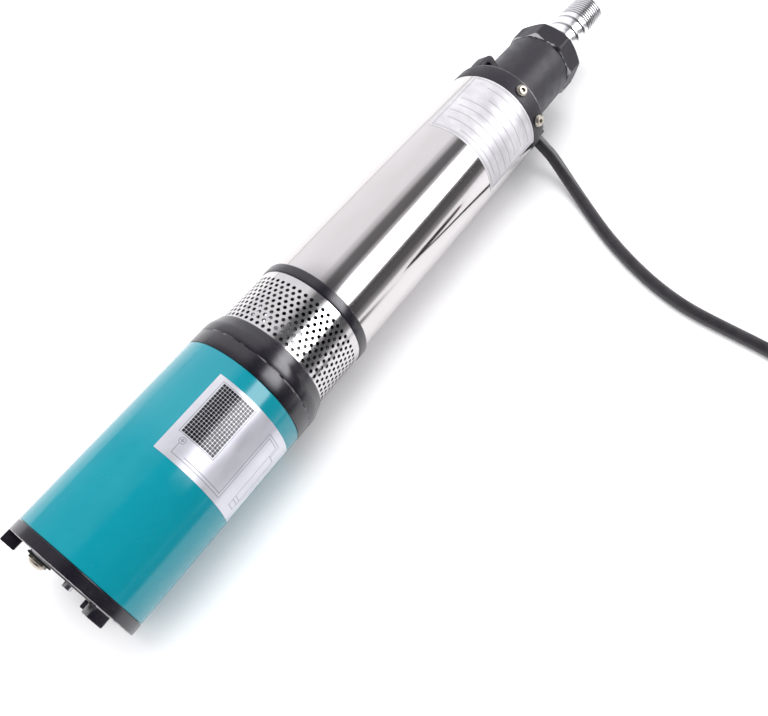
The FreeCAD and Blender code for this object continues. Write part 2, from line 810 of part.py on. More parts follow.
def outer_race(name, start, width, outer, inner):
    """A bearing's outer ring with shields that stop just short of the inner ring."""
    lip = "%s + bearing_wall + seal_gap" % inner
    return turned(name, [
        (start, lip),
        (start, outer),
        ("%s + %s" % (start, width), outer),
        ("%s + %s" % (start, width), lip),
        ("%s + %s - bearing_lip" % (start, width), lip),
        ("%s + %s - bearing_lip" % (start, width), "%s - bearing_wall" % outer),
        (start + " + bearing_lip", "%s - bearing_wall" % outer),
        (start + " + bearing_lip", lip),
    ])


def inner_race(name, start, width, inner):
    """A bearing's inner ring."""
    return turned(name, [
        (start, inner),
        (start, "%s + bearing_wall" % inner),
        ("%s + %s" % (start, width), "%s + bearing_wall" % inner),
        ("%s + %s" % (start, width), inner),
    ])


place(group("outer_race_pair", [
    outer_race("lower_outer_race", "lower_seat", "lower_width", "lower_outer", "lower_bore"),
    outer_race("upper_outer_race", "upper_start", "upper_width", "upper_outer", "upper_bore"),
]), "bearing_outer_rings")
place(group("inner_race_pair", [
    inner_race("lower_inner_race", "lower_seat", "lower_width", "lower_bore"),
    inner_race("upper_inner_race", "upper_start", "upper_width", "upper_bore"),
]), "bearing_inner_rings")

# The top cover closes the motor and holds the upper bearing.
cover = turned("top_cover_body", [
    ("cover_inner", "bore_radius - cap_wall"),
    ("cover_inner", "spigot_radius"),
    ("cover_inner + groove_start", "spigot_radius"),
    ("cover_inner + groove_start", "groove_radius"),
    ("cover_inner + groove_start + groove_width", "groove_radius"),
    ("cover_inner + groove_start + groove_width", "spigot_radius"),
    ("barrel_end", "spigot_radius"),
    ("barrel_end", "barrel_radius"),
    ("cover_top", "barrel_radius"),
    ("cover_top", "flange_seal_circle + groove_width / 2"),
    ("cover_top - 2 * cord_seal", "flange_seal_circle + groove_width / 2"),
    ("cover_top - 2 * cord_seal", "flange_seal_circle - groove_width / 2"),
    ("cover_top", "flange_seal_circle - groove_width / 2"),
    ("cover_top", "shaft_passage"),
    ("upper_seat", "shaft_passage"),
    ("upper_seat", "upper_outer + seat_gap"),
    ("upper_start - 1", "upper_outer + seat_gap"),
    ("upper_start - 1", "upper_outer + cap_wall"),
    ("barrel_end - cover_web", "upper_outer + cap_wall"),
    ("barrel_end - cover_web", "bore_radius - cap_wall"),
])
riser_start_station = "barrel_end - cover_web"
cover_wire = bore(cover, "cover_wire_hole", (riser_start_station, *across("riser_circle", "cable_turn")),
                  "riser_wire + cord_gap", "cover_rim + cover_web + 1")
cover_bolt = bore(cover, "cover_bolt_hole", ("cover_top - screw_reach", *across("flange_bolt_circle", "cable_turn + bolt_turn_step")),
                  "screw_radius + screw_gap", "screw_reach + 1")
around(cover, "cover_bolt_holes", cover_bolt, "pillar_count")
place(cover, "top_cover")
seal_ring("cover_oring", "seal_circle", "cover_inner + groove_start + groove_width / 2")
seal_ring("flange_oring", "flange_seal_circle", "cover_top - cord_seal")

# The intake flange is a casting whose pillars carry the pump end over the strainer's chamber.
flange = turned("intake_flange_body", [
    ("cover_top", "shaft_passage"),
    ("cover_top", "barrel_radius"),
    ("flange_edge", "barrel_radius"),
    ("flange_top", "strainer_radius + 2 * spigot_gap"),
    ("flange_top - strainer_seat", "strainer_radius + 2 * spigot_gap"),
    ("flange_top - strainer_seat", "insert_radius"),
    ("flange_top + strainer_spigot", "insert_radius"),
    ("flange_top + strainer_spigot", "insert_radius - spigot_wall"),
    ("flange_floor", "insert_radius - spigot_wall"),
    ("flange_floor", "seal_boss"),
    ("seal_face", "seal_boss"),
    ("seal_face", "seal_outer + seat_gap"),
    ("cover_top + seal_floor", "seal_outer + seat_gap"),
    ("cover_top + seal_floor", "shaft_passage"),
])
soften(flange, "flange_edge_round", [("flange_edge", "barrel_radius")], "cap_wall")
bore(flange, "flange_wire_hole", ("cover_top - 1", *across("riser_circle", "cable_turn")),
     "riser_wire + cord_gap", "flange_web + 2")
flange_bolt = bore(flange, "flange_bolt_hole",
                   ("cover_top - 1", *across("flange_bolt_circle", "cable_turn + bolt_turn_step")),
                   "screw_radius + screw_gap", "flange_web + 2")
around(flange, "flange_bolt_holes", flange_bolt, "pillar_count")
pillar = flange.newObject("PartDesign::AdditiveCylinder", "flange_pillar")
pillar.setExpression("Radius", bound("pillar_radius"))
pillar.setExpression("Height", bound("ring_start - strainer_seat - flange_floor + 1"))
pillar.Placement = Placement(Vector(), Rotation(Vector(0, 0, 1), Vector(1, 0, 0)))
for axis, size in zip("xyz", ("flange_floor - 1", *across("pillar_circle", "pillar_turn"))):
    pillar.setExpression("Placement.Base." + axis, bound(size))
flange.Tip = pillar
around(flange, "flange_pillars", pillar, "pillar_count")
pillar_bolt = bore(flange, "pillar_bolt_hole",
                   ("ring_start - strainer_seat - screw_reach - 1", *across("pillar_circle", "pillar_turn")),
                   "screw_radius + screw_gap", "screw_reach + 2")
around(flange, "pillar_bolt_holes", pillar_bolt, "pillar_count")
place(flange, "intake_flange")

flange_screws = []
pillar_screws = []
for step in range(int(DRIVING["pillar_count"])):
    turn = "cable_turn + bolt_turn_step + 360 / pillar_count * %d" % step
    flange_screws.append(screw(
        "flange_screw_%d" % step, ("flange_floor", *across("flange_bolt_circle", "(%s)" % turn)), Vector(1, 0, 0),
        "screw_head", "screw_head_height", "screw_radius", "flange_web + 0.9 * screw_reach"))
    turn = "pillar_turn + 360 / pillar_count * %d" % step
    pillar_screws.append(screw(
        "pillar_screw_%d" % step, ("ring_end", *across("pillar_circle", "(%s)" % turn)), Vector(1, 0, 0),
        "screw_head", "screw_head_height", "screw_radius", "ring_length + strainer_seat + screw_reach"))
place(group("flange_screw_set", flange_screws), "flange_screws")
place(group("pillar_screw_set", pillar_screws), "pillar_screws")

place(turned("seal_seat_body", [
    ("cover_top + seal_floor", "seal_inner"),
    ("cover_top + seal_floor", "seal_outer"),
    ("seal_face", "seal_outer"),
    ("seal_face", "seal_inner"),
]), "seal_seat")
place(turned("shaft_seal_body", [
    ("seal_face + seal_gap", "upper_bore + seal_squeeze"),
    ("seal_face + seal_gap", "seal_head - 1"),
    ("seal_face + seal_length / 3", "seal_head - 1"),
    ("seal_face + seal_length / 3", "seal_head"),
    ("seal_face + seal_length", "seal_head"),
    ("seal_face + seal_length", "upper_bore + seal_squeeze"),
]), "shaft_seal")

# The strainer is a tube of perforated sheet, with staggered holes between two plain bands.
strainer = turned("strainer_body", [
    ("flange_top - strainer_seat", "strainer_bore"),
    ("flange_top - strainer_seat", "strainer_radius"),
    ("ring_start", "strainer_radius"),
    ("ring_start", "strainer_bore"),
])
strainer_middle = "flange_top + strainer_length / 2 - 0.4"
for row_index, lift in enumerate((-1.5, -0.5, 0.5, 1.5)):
    stagger = 180 / DRIVING["hole_columns"] * (row_index % 2)
    hole = bore(strainer, "strainer_hole_%d" % row_index,
                ("%s + hole_row_pitch * (%.1f)" % (strainer_middle, lift),
                 *across("(strainer_bore - 2)", "%.4f" % stagger)),
                "hole_radius", "strainer_wall + 5", outward(stagger))
    around(strainer, "strainer_row_%d" % row_index, hole, "hole_columns")
place(strainer, "strainer")

# The barrel ring joins the strainer's chamber to the pump barrel and seats the stator's sleeve.
ring = turned("barrel_ring_body", [
    ("ring_start - strainer_seat", "ring_throat"),
    ("ring_start - strainer_seat", "insert_radius"),
    ("ring_start", "insert_radius"),
    ("ring_start", "ring_radius"),
    ("ring_end", "ring_radius"),
    ("ring_end", "tube_bore - spigot_gap"),
    ("ring_end + ring_spigot", "tube_bore - spigot_gap"),
    ("ring_end + ring_spigot", "sleeve_radius + seat_gap"),
    ("sleeve_start", "sleeve_radius + seat_gap"),
    ("sleeve_start", "ring_throat"),
])
soften(ring, "ring_edge_chamfer", [("ring_end", "ring_radius"), ("ring_start", "ring_radius")], "rim_chamfer",
       "PartDesign::Chamfer")
bore(ring, "ring_wire_hole", ("ring_start - strainer_seat - 1", *across("riser_circle", "cable_turn")),
     "riser_wire + cord_gap", "strainer_seat + ring_length + ring_spigot + 2")
ring_bolt = bore(ring, "ring_bolt_hole",
                 ("ring_start - strainer_seat - 1", *across("pillar_circle", "pillar_turn")),
                 "screw_radius + screw_gap", "strainer_seat + ring_length + ring_spigot + 2")
around(ring, "ring_bolt_holes", ring_bolt, "pillar_count")
ring_sink = bore(ring, "ring_counterbore", ("ring_end", *across("pillar_circle", "pillar_turn")),
                 "screw_head + 2 * screw_gap", "ring_spigot + 1")
around(ring, "ring_counterbores", ring_sink, "pillar_count")
place(ring, "barrel_ring")

# The drive: coupling, rod with a ball at each end, and the caps that keep the balls in their sockets.
hub = turned("coupling_hub_body", [
    ("coupling_face", "upper_bore"),
    ("coupling_face", "coupling_radius"),
    ("coupling_end", "coupling_radius"),
    ("coupling_end", "0"),
    ("coupling_face + coupling_bore_length", "0"),
    ("coupling_face + coupling_bore_length", "upper_bore"),
])
ball_seat(hub, "hub_ball_seat", "lower_ball")
bore(hub, "hub_socket", ("lower_ball", "0", "0"), "socket_radius", "ball_radius")
place(hub, "coupling_hub")


def ball_cap(label, start, offset):
    """The ring that keeps a ball in its socket."""
    outer = rod(label + "_outer", "coupling_radius", "cap_thick", (start, offset, "0"))
    inner = rod(label + "_inner", "cap_hole", "cap_thick", (start, offset, "0"))
    return place(less(label + "_ring", outer, inner), label)


ball_cap("coupling_cap", "coupling_end", "0")
ball_cap("rotor_cap", "rotor_start - cap_thick", "eccentricity")

lean = Vector(DRIVING["rod_length"], DRIVING["eccentricity"], 0)
lower = doc.addObject("Part::Sphere", "lower_ball_block")
lower.setExpression("Radius", bound("ball_radius"))
lower.setExpression("Placement.Base.x", bound("lower_ball"))
upper = doc.addObject("Part::Sphere", "upper_ball_block")
upper.setExpression("Radius", bound("ball_radius"))
upper.setExpression("Placement.Base.x", bound("upper_ball"))
upper.setExpression("Placement.Base.y", bound("eccentricity"))
link = rod("rod_link", "rod_radius", "sqrt(rod_length ^ 2 + eccentricity ^ 2)", ("lower_ball", "0", "0"), lean)
place(joined("connecting_rod_solid", [lower, upper, link]), "connecting_rod")


def helix_circle(station, phase, radius, centre, offset):
    """A circle across the axis, carried round at a distance from its centre."""
    middle = Vector(station, centre, 0) + outward(math.degrees(phase)) * offset
    return Part.Wire([Part.makeCircle(radius, middle, Vector(1, 0, 0))])


def helix_slot(station, phase, radius, reach):
    """A slot with round ends across the axis, turned to a phase."""
    along = outward(math.degrees(phase)) * reach
    side = outward(math.degrees(phase) + 90) * radius
    end = outward(math.degrees(phase)) * radius
    centre = Vector(station, 0, 0)
    first = Part.Arc(centre + along - side, centre + along + end, centre + along + side).toShape()
    second = Part.Arc(centre - along + side, centre - along - end, centre - along - side).toShape()
    top = Part.makeLine(centre + along + side, centre - along + side)
    bottom = Part.makeLine(centre - along - side, centre + along - side)
    return Part.Wire([first, top, second, bottom])


SECTIONS_PER_TURN = 12
pitch = number("screw_pitch")
eccentricity = number("eccentricity")
helix_start = number("helix_start")
wires = []
for step in range(int(round(number("screw_turns") * SECTIONS_PER_TURN)) + 1):
    station = helix_start + pitch * step / SECTIONS_PER_TURN
    phase = 2 * math.pi * step / SECTIONS_PER_TURN
    wires.append(helix_circle(station, phase, number("screw_section"), eccentricity, eccentricity))
helix = Part.makeLoft(wires, True, False)
head = Part.makeCylinder(number("coupling_radius"), helix_start - number("rotor_start"),
                         Vector(number("rotor_start"), eccentricity, 0), Vector(1, 0, 0))
socket_centre = Vector(number("upper_ball"), eccentricity, 0)
socket = Part.makeSphere(number("socket_radius"), socket_centre).fuse(
    Part.makeCylinder(number("socket_radius"), number("ball_radius"), socket_centre, Vector(-1, 0, 0)))
rotor = doc.addObject("Part::Feature", "screw_rotor_solid")
rotor.Shape = head.fuse(helix).cut(socket).removeSplitter()
place(rotor, "screw_rotor")

# The stator's bore is a slot with twice the screw's pitch, so the screw rolls from end to end of it.
stator_start = number("stator_start")
stator_length = number("stator_end") - stator_start
cut_sections = int(math.ceil(stator_length / pitch * SECTIONS_PER_TURN))
wires = []
for step in range(-1, cut_sections + 2):
    station = stator_start + stator_length * step / cut_sections
    phase = math.pi * (station - helix_start) / pitch
    wires.append(helix_slot(station, phase, number("screw_section + screw_clearance"), 2 * eccentricity))
cavity = Part.makeLoft(wires, True, False)
rubber_block = Part.makeCylinder(number("stator_radius"), stator_length, Vector(stator_start, 0, 0), Vector(1, 0, 0))
rubber = doc.addObject("Part::Feature", "stator_rubber_solid")
rubber.Shape = rubber_block.cut(cavity)
place(rubber, "stator_rubber")
place(turned("stator_sleeve_body", [
    ("sleeve_start", "stator_radius + seat_gap"),
    ("sleeve_start", "sleeve_radius"),
    ("sleeve_end", "sleeve_radius"),
    ("sleeve_end", "stator_radius + seat_gap"),
]), "stator_sleeve")

# The pump barrel, and the adapter in its top that the head is screwed to.
place(turned("pump_barrel_body", [
    ("ring_end", "tube_bore"),
    ("ring_end", "tube_radius"),
    ("tube_end", "tube_radius"),
    ("tube_end", "tube_bore"),
]), "pump_barrel")
adapter_groove = "tube_bore - 2 * (seal_squeeze + cord_seal)"
adapter = turned("head_adapter_body", [
    ("adapter_start", "sleeve_radius + seat_gap"),
    ("adapter_start", "tube_bore - spigot_gap"),
    ("adapter_start + groove_start", "tube_bore - spigot_gap"),
    ("adapter_start + groove_start", adapter_groove),
    ("adapter_start + groove_start + groove_width", adapter_groove),
    ("adapter_start + groove_start + groove_width", "tube_bore - spigot_gap"),
    ("tube_end", "tube_bore - spigot_gap"),
    ("tube_end", "adapter_radius"),
    ("adapter_end", "adapter_radius"),
    ("adapter_end", "adapter_throat"),
    ("sleeve_end", "adapter_throat"),
    ("sleeve_end", "sleeve_radius + seat_gap"),
])
bore(adapter, "adapter_wire_hole", ("adapter_start - 1", *across("riser_circle", "cable_turn")),
     "riser_wire + cord_gap", "adapter_depth + adapter_rise + 2")
head_turns = ["head_screw_turn", "(head_screw_turn + head_screw_step)", "(head_screw_turn + 180)",
              "(head_screw_turn + head_screw_step + 180)"]
screw_station = "tube_end + head_screw_rise"
for step, turn in enumerate(head_turns):
    bore(adapter, "adapter_tap_%d" % step, (screw_station, *across("(adapter_radius - 5.5)", turn)),
         "screw_radius + screw_gap", "6.5", outward(number(turn)))
place(adapter, "head_adapter")
seal_ring("adapter_oring", "tube_bore - seal_squeeze - cord_seal", "adapter_start + groove_start + groove_width / 2")

# The discharge head: skirt with a ledge, rope lug, cable boss and the neck with the valve's chamber.
head = turned("discharge_head_body", [
    ("tube_end", "skirt_bore"),
    ("tube_end", "skirt_radius"),
    ("skirt_end", "skirt_radius - 0.4"),
    ("shoulder_end", "shoulder_radius"),
    ("crown_end", "crown_radius"),
    ("neck_start", "neck_radius"),
    ("neck_end", "neck_radius - neck_draft"),
    ("neck_end", "thread_radius"),
    ("thread_end", "thread_radius"),
    ("thread_end", "valve_radius"),
    ("valve_ledge", "valve_radius"),
    ("valve_ledge", "head_throat"),
    ("valve_ledge - 6", "head_throat"),
    ("adapter_end + 2 * spigot_gap", "adapter_throat"),
    ("adapter_end + 2 * spigot_gap", "skirt_bore"),
])
soften(head, "rim_round_edge", [("skirt_end", "skirt_radius - 0.4"), ("shoulder_end", "shoulder_radius")], "rim_round")
exit_way = outward(number("cable_turn"))
raised(head, "cable_boss", ("cable_station", *across("(neck_radius - gland_foot)", "cable_turn")),
       "gland_lip + gland_boss", "gland_outer - 2 - neck_radius + gland_foot", exit_way)
for step, turn in enumerate(head_turns):
    bore(head, "skirt_hole_%d" % step, (screw_station, *across("(skirt_bore - 2)", turn)),
         "screw_radius + screw_gap", "6", outward(number(turn)))
bore(head, "head_wire_hole", ("adapter_end", *across("riser_circle", "cable_turn")),
     "riser_wire + cord_gap", "cable_rise - adapter_rise")
bore(head, "gland_hole", ("cable_station", *across("gland_inner", "cable_turn")), "gland_radius + seat_gap",
     "gland_outer - gland_inner + 2", exit_way)
bore(head, "gland_seat", ("cable_station", *across("(gland_outer - 2)", "cable_turn")), "gland_lip + seat_gap",
     "gland_inset + 4", exit_way)
lug_turn = number("lug_turn")
ear = doc.addObject("Part::Box", "lug_block")
ear.setExpression("Length", bound("lug_length"))
ear.setExpression("Width", bound("lug_width"))
ear.setExpression("Height", bound("lug_top - neck_radius + 3"))
ear_edges = doc.addObject("Part::Fillet", "lug_rounded")
doc.recompute()
ear_edges.Base = ear
ear_edges.Edges = [
    (index, 4.5, 4.5) for index, edge in enumerate(ear.Shape.Edges, start=1)
    if edge.BoundBox.ZMin > ear.Shape.BoundBox.ZMax - 0.01 and edge.BoundBox.XLength < 0.01
]
ear_hole = rod("lug_hole_rod", "lug_hole", "lug_width + 4", ("lug_hole_run", "-2", "lug_hole_rise - neck_radius + 3"), Vector(0, 1, 0))
ear_turned = less("rope_lug", ear_edges, ear_hole)
lean_out = Rotation(Vector(1, 0, 0), lug_turn - 90)
sideways = outward(lug_turn - 90)
ear_base = outward(lug_turn) * (number("neck_radius") - 3) - sideways * (number("lug_width") / 2)
ear_turned.Placement = Placement(ear_base + Vector(number("skirt_end - lug_sink"), 0, 0),
                                 lean_out * Rotation(Vector(0, 0, 1), 0))
ear_turned.setExpression("Placement.Base.x", bound("skirt_end - lug_sink"))
doc.recompute()
place(joined("discharge_head_solid", [head, ear_turned]), "discharge_head")

head_screws = [
    screw("head_screw_%d" % step, (screw_station, *across("(skirt_radius - seal_squeeze)", turn)), outward(number(turn)),
          "head_screw_head", "head_screw_height", "screw_radius", "head_screw_length", "socket_flats", "socket_depth")
    for step, turn in enumerate(head_turns)
]
place(group("head_screw_set", head_screws), "head_screws")

# The check valve in the neck.
place(turned("valve_seat_body", [
    ("valve_ledge", "valve_opening"),
    ("valve_ledge", "valve_radius - spigot_gap"),
    ("valve_face", "valve_radius - spigot_gap"),
    ("valve_face", "valve_opening"),
]), "valve_seat")
place(turned("valve_poppet_body", [
    ("valve_face + seal_gap", "0"),
    ("valve_face + seal_gap", "poppet_radius"),
    ("valve_face + seal_gap + poppet_thick / 2", "poppet_radius"),
    ("valve_face + seal_gap + poppet_thick", "stem_radius + 2"),
    ("valve_face + seal_gap + poppet_thick + 1", "stem_radius"),
    ("valve_face + stem_length", "stem_radius"),
    ("valve_face + stem_length", "0"),
]), "valve_poppet")
retainer = turned("valve_retainer_body", [
    ("retainer_face", "stem_radius + 2 * seal_gap"),
    ("retainer_face", "retainer_hub"),
    ("retainer_face + retainer_thick", "retainer_hub"),
    ("retainer_face + retainer_thick", "stem_radius + 2 * seal_gap"),
])
rib = pad(retainer, "retainer_rib_pad", [
    ("-retainer_rib / 2", "retainer_hub - 1"),
    ("retainer_rib / 2", "retainer_hub - 1"),
    ("retainer_rib / 2", "valve_radius - 1"),
    ("-retainer_rib / 2", "valve_radius - 1"),
], "retainer_face", "retainer_thick")
around(retainer, "retainer_ribs", rib, "pillar_count")
rim_outer = rod("retainer_rim_outer", "valve_radius - spigot_gap", "retainer_thick", ("retainer_face", "0", "0"))
rim_inner = rod("retainer_rim_inner", "valve_radius - 2", "retainer_thick", ("retainer_face", "0", "0"))
rim = less("retainer_rim", rim_outer, rim_inner)
place(joined("valve_retainer_solid", [retainer, rim]), "valve_retainer")

spring_start = number("valve_face + seal_gap + poppet_thick + 0.3 + spring_wire")
spring_end = number("retainer_face - 0.3 - spring_wire")
spring_pitch = (spring_end - spring_start) / DRIVING["spring_turns"]
spring_path = Part.makeHelix(spring_pitch, spring_end - spring_start, number("spring_radius"))
spring_circle = Part.makeCircle(number("spring_wire"), Vector(number("spring_radius"), 0, 0), Vector(0, 1, 0))
spring_shape = Part.Wire(spring_path.Edges).makePipeShell([Part.Wire([spring_circle])], True, True)
spring = doc.addObject("Part::Feature", "valve_spring_solid")
spring_shape.Placement = Placement(Vector(spring_start, 0, 0), Rotation(Vector(0, 1, 0), 90))
spring.Shape = spring_shape.copy()
spring_holder = group("valve_spring_set", [spring])
place(spring_holder, "valve_spring")

# The outlet: a nut with flats that clamps the hose tail's collar on the neck's end.
nut_core = doc.addObject("Part::Prism", "nut_flats_block")
nut_core.setExpression("Polygon", bound("nut_sides"))
nut_core.setExpression("Circumradius", bound("nut_flats / 2 / cos(180 / nut_sides)"))
nut_core.setExpression("Height", bound("nut_length"))
nut_core.Placement = Placement(Vector(), Rotation(Vector(1, 0, 0), number("nut_turn")) * Rotation(Vector(0, 1, 0), 90))
nut_core.setExpression("Placement.Base.x", bound("nut_start"))
nut_limit = turned("nut_limit_body", [
    ("nut_start", "0"),
    ("nut_start", "nut_flats / 2"),
    ("nut_start + nut_chamfer", "nut_flats / 2 / cos(180 / nut_sides) + 0.2"),
    ("nut_end - 2 * nut_chamfer", "nut_flats / 2 / cos(180 / nut_sides) + 0.2"),
    ("nut_end", "nut_flats / 2 - 2 * nut_chamfer"),
    ("nut_end", "0"),
])
nut_common = doc.addObject("Part::MultiCommon", "nut_outside")
nut_common.Shapes = [nut_core, nut_limit]
nut_bore = turned("nut_bore_body", [
    ("nut_start - 1", "0"),
    ("nut_start - 1", "thread_radius + seal_squeeze"),
    ("collar_end", "thread_radius + seal_squeeze"),
    ("collar_end", "tail_radius + 2 * spigot_gap"),
    ("nut_end + 1", "tail_radius + 2 * spigot_gap"),
    ("nut_end + 1", "0"),
])
place(less("outlet_nut_solid", nut_common, nut_bore), "outlet_nut")
place(turned("outlet_gasket_body", [
    ("thread_end", "valve_radius"),
    ("thread_end", "thread_radius"),
    ("gasket_end", "thread_radius"),
    ("gasket_end", "valve_radius"),
]), "outlet_gasket")

tail_corners = [
    ("gasket_end", "tail_bore"),
    ("gasket_end", "collar_radius + 1"),
    ("collar_end", "collar_radius + 1"),
    ("collar_end", "tail_radius"),
    ("nut_end + 1", "tail_radius"),
    ("nut_end + 1", "tail_radius - barb_depth"),
]
for step in range(int(DRIVING["barb_count"])):
    base = "barb_start + barb_pitch * %d" % step
    tail_corners.append((base, "tail_radius - barb_depth"))
    tail_corners.append((base, "tail_radius"))
for step in range(int(DRIVING["tip_barb_count"])):
    base = "tip_barb_start + tip_barb_pitch * %d" % step
    crest = "tail_radius + (tail_tip - tail_radius) * %.2f" % ((step + 1) / (DRIVING["tip_barb_count"] + 1))
    tail_corners.append((base, crest + " - barb_depth"))
    tail_corners.append((base, crest))
tail_corners += [
    ("tail_end - 0.6", "tail_tip - barb_depth"),
    ("tail_end", "tail_tip - barb_depth - 0.6"),
    ("tail_end", "tail_bore"),
]
place(turned("hose_tail_body", tail_corners), "hose_tail")

# The cable: its gland in the head, the wire that rises inside the pump, the free length and its coil.
gland_base = ("cable_station", *across("gland_inner", "cable_turn"))
gland_lip_base = ("cable_station", *across("(gland_outer - 2)", "cable_turn"))
gland_outer = joined("gland_outside", [
    rod("gland_stem", "gland_radius", "gland_outer - gland_inner", gland_base, exit_way),
    rod("gland_collar", "gland_lip", "2", gland_lip_base, exit_way),
])
gland_way = rod("gland_way", "cable_radius + cord_gap", "gland_outer - gland_inner + 2",
                ("cable_station", *across("(gland_inner + 2)", "cable_turn")), exit_way)
place(less("cable_gland_solid", gland_outer, gland_way), "cable_gland")
riser = rod("riser_rod", "riser_wire", "cable_station - gland_lip - soft_gap - (%s)" % riser_start_station,
            (riser_start_station, *across("riser_circle", "cable_turn")))
place(group("riser_set", [riser]), "riser_wire")

# Points of the free cable, as distances from the cable's exit station, the axis and the floor.
FREE_CABLE = [
    (0.0, -42.0, 15.7),
    (-3.5, -56.0, 8.6),
    (-12.0, -75.0, 4.4),
    (-25.0, -98.0, 3.9),
    (-34.5, -120.0, 3.9),
    (-41.0, -141.0, 3.9),
    (-44.3, -163.0, 3.9),
    (-43.2, -186.0, 3.9),
    (-41.4, -210.0, 3.9),
    (-42.0, -232.0, 4.2),
]
COIL_MIDDLE = (8.8, -262.0)
floor_shift = Vector(number("cable_station"), 0, -number("barrel_radius"))
route = [Vector(number("cable_station"), 0, 0) + exit_way * number("gland_inner + 2")]
route += [floor_shift + Vector(*point) for point in FREE_CABLE]


def cord_wire(points):
    """Straight runs joined by tangent arcs as large as the runs allow, and the arcs' radii."""
    edges = []
    radii = []
    start = points[0]
    for before, corner, after in zip(points, points[1:], points[2:]):
        back = (before - corner).normalize()
        ahead = (after - corner).normalize()
        half_turn = (math.pi - back.getAngle(ahead)) / 2
        shorter = min((before - corner).Length, (after - corner).Length)
        setback = 0.45 * shorter
        radius = setback / math.tan(half_turn)
        radii.append(radius)
        first = corner + back * setback
        last = corner + ahead * setback
        bisector = (back + ahead).normalize()
        middle = corner + bisector * (radius / math.cos(half_turn) - radius)
        edges.append(Part.LineSegment(start, first).toShape())
        edges.append(Part.Arc(first, middle, last).toShape())
        start = last
    edges.append(Part.LineSegment(start, points[-1]).toShape())
    return Part.Wire(edges), radii


path, radii = cord_wire(route)
section = Part.makeCircle(number("cable_radius"), route[0], route[1] - route[0])
tube = path.makePipeShell([Part.Wire([section])], True, False)
cable = doc.addObject("Part::Feature", "cable_solid")
cable.Shape = tube
place(cable, "cable")
ideal = math.pi * number("cable_radius") ** 2 * path.Length
print("cable length %.1f, radii" % path.Length, ["%.0f" % radius for radius in radii],
      "volume ratio %.4f" % (tube.Volume / ideal))

coil_half = DRIVING["cable_radius"] * DRIVING["coil_turns_wide"]
coil_tall = 2 * DRIVING["cable_radius"] * DRIVING["coil_turns_high"]
coil_centre = floor_shift + Vector(COIL_MIDDLE[0], COIL_MIDDLE[1], DRIVING["tie_thick"])
coil_shape = Part.makeCylinder(DRIVING["coil_radius"] + coil_half, coil_tall, coil_centre).cut(
    Part.makeCylinder(DRIVING["coil_radius"] - coil_half, coil_tall, coil_centre))
coil_shape = coil_shape.makeFillet(number("cable_radius"), coil_shape.Edges)

# The outer turn of the upper layer ends in a notch, where the two leads lie on the turn below.
ray = Vector(1, 0, 0)
notch_inner = DRIVING["coil_radius"] + coil_half - 2 * DRIVING["cable_radius"]
notch_outer = DRIVING["coil_radius"] + coil_half + 1
notch_plane = [Vector(radius, 0, coil_tall / 2) for radius in (notch_inner, notch_outer)]
notch_plane += [Vector(radius, 0, coil_tall + 1) for radius in (notch_outer, notch_inner)]
notch = Part.Face(Part.makePolygon(notch_plane + notch_plane[:1])).revolve(
    Vector(), Vector(0, 0, 1), DRIVING["notch_angle"])
notch.Placement = Placement(coil_centre, Rotation(Vector(0, 0, 1), DRIVING["notch_turn"]))
coil_shape = coil_shape.cut(notch)
coil = doc.addObject("Part::Feature", "cable_coil_solid")
coil.Shape = coil_shape
place(coil, "cable_coil")

tie_turn = Rotation(Vector(0, 0, 1), DRIVING["tie_turn"])
tie = DRIVING["tie_thick"]
tie_gap = DRIVING["soft_gap"]
tie_outside = Part.makeBox(2 * (coil_half + tie + tie_gap), DRIVING["tie_width"], coil_tall + 2 * tie + tie_gap,
                           Vector(DRIVING["coil_radius"] - coil_half - tie - tie_gap, -DRIVING["tie_width"] / 2, -tie))
tie_inside = Part.makeBox(2 * (coil_half + tie_gap), DRIVING["tie_width"], coil_tall + tie_gap,
                          Vector(DRIVING["coil_radius"] - coil_half - tie_gap, -DRIVING["tie_width"] / 2, 0))
coil_tie = doc.addObject("Part::Feature", "coil_tie_solid")
tie_shape = tie_outside.cut(tie_inside)
tie_shape.Placement = Placement(coil_centre, tie_turn)
coil_tie.Shape = tie_shape
tie_holder = group("coil_tie_set", [coil_tie])
place(tie_holder, "coil_tie")

lead_circle = DRIVING["coil_radius"] + coil_half - DRIVING["cable_radius"]
lead_reach = DRIVING["lead_length"] + DRIVING["wire_tip_length"]
lead_lean = math.degrees(math.asin(lead_reach / 2 / lead_circle))
lead_turn = Rotation(Vector(0, 0, 1), DRIVING["notch_turn"])
lead_way = Rotation(Vector(0, 0, 1), DRIVING["notch_turn"] + 90 + lead_lean).multVec(ray)
lead_pieces = []
for step in range(2):
    lift = coil_tall / 2 + DRIVING["lead_gap"] + DRIVING["lead_radius"]
    lift += step * (2 * DRIVING["lead_radius"] + DRIVING["lead_gap"])
    start = coil_centre + lead_turn.multVec(ray) * lead_circle + Vector(0, 0, lift) - lead_way
    covering = Part.makeCylinder(DRIVING["lead_radius"], DRIVING["lead_length"] + 1, start, lead_way)
    tip = Part.makeCylinder(DRIVING["wire_tip_radius"], lead_reach + 1, start, lead_way)
    lead_pieces.append(covering.fuse(tip).removeSplitter())
leads = doc.addObject("Part::Feature", "cable_leads_solid")
leads.Shape = Part.makeCompound([piece.cut(coil_shape) for piece in lead_pieces])
place(leads, "cable_leads")

# Everything is worked out, tested and written.
doc.recompute()
failed = [item.Name for item in doc.Objects if "Invalid" in item.State or "Error" in item.State]
if failed:
    raise ValueError("failed objects: " + ", ".join(failed))
os.makedirs("parts", exist_ok=True)
for part in PARTS:
    if part.Shape.isNull() or not part.Shape.isValid():
        raise ValueError(part.Label + " has no sound shape")
for part in PARTS:
    part.Shape.exportStep(os.path.join("parts", part.Label + ".step"))
print(len(PARTS), "sub-parts written")
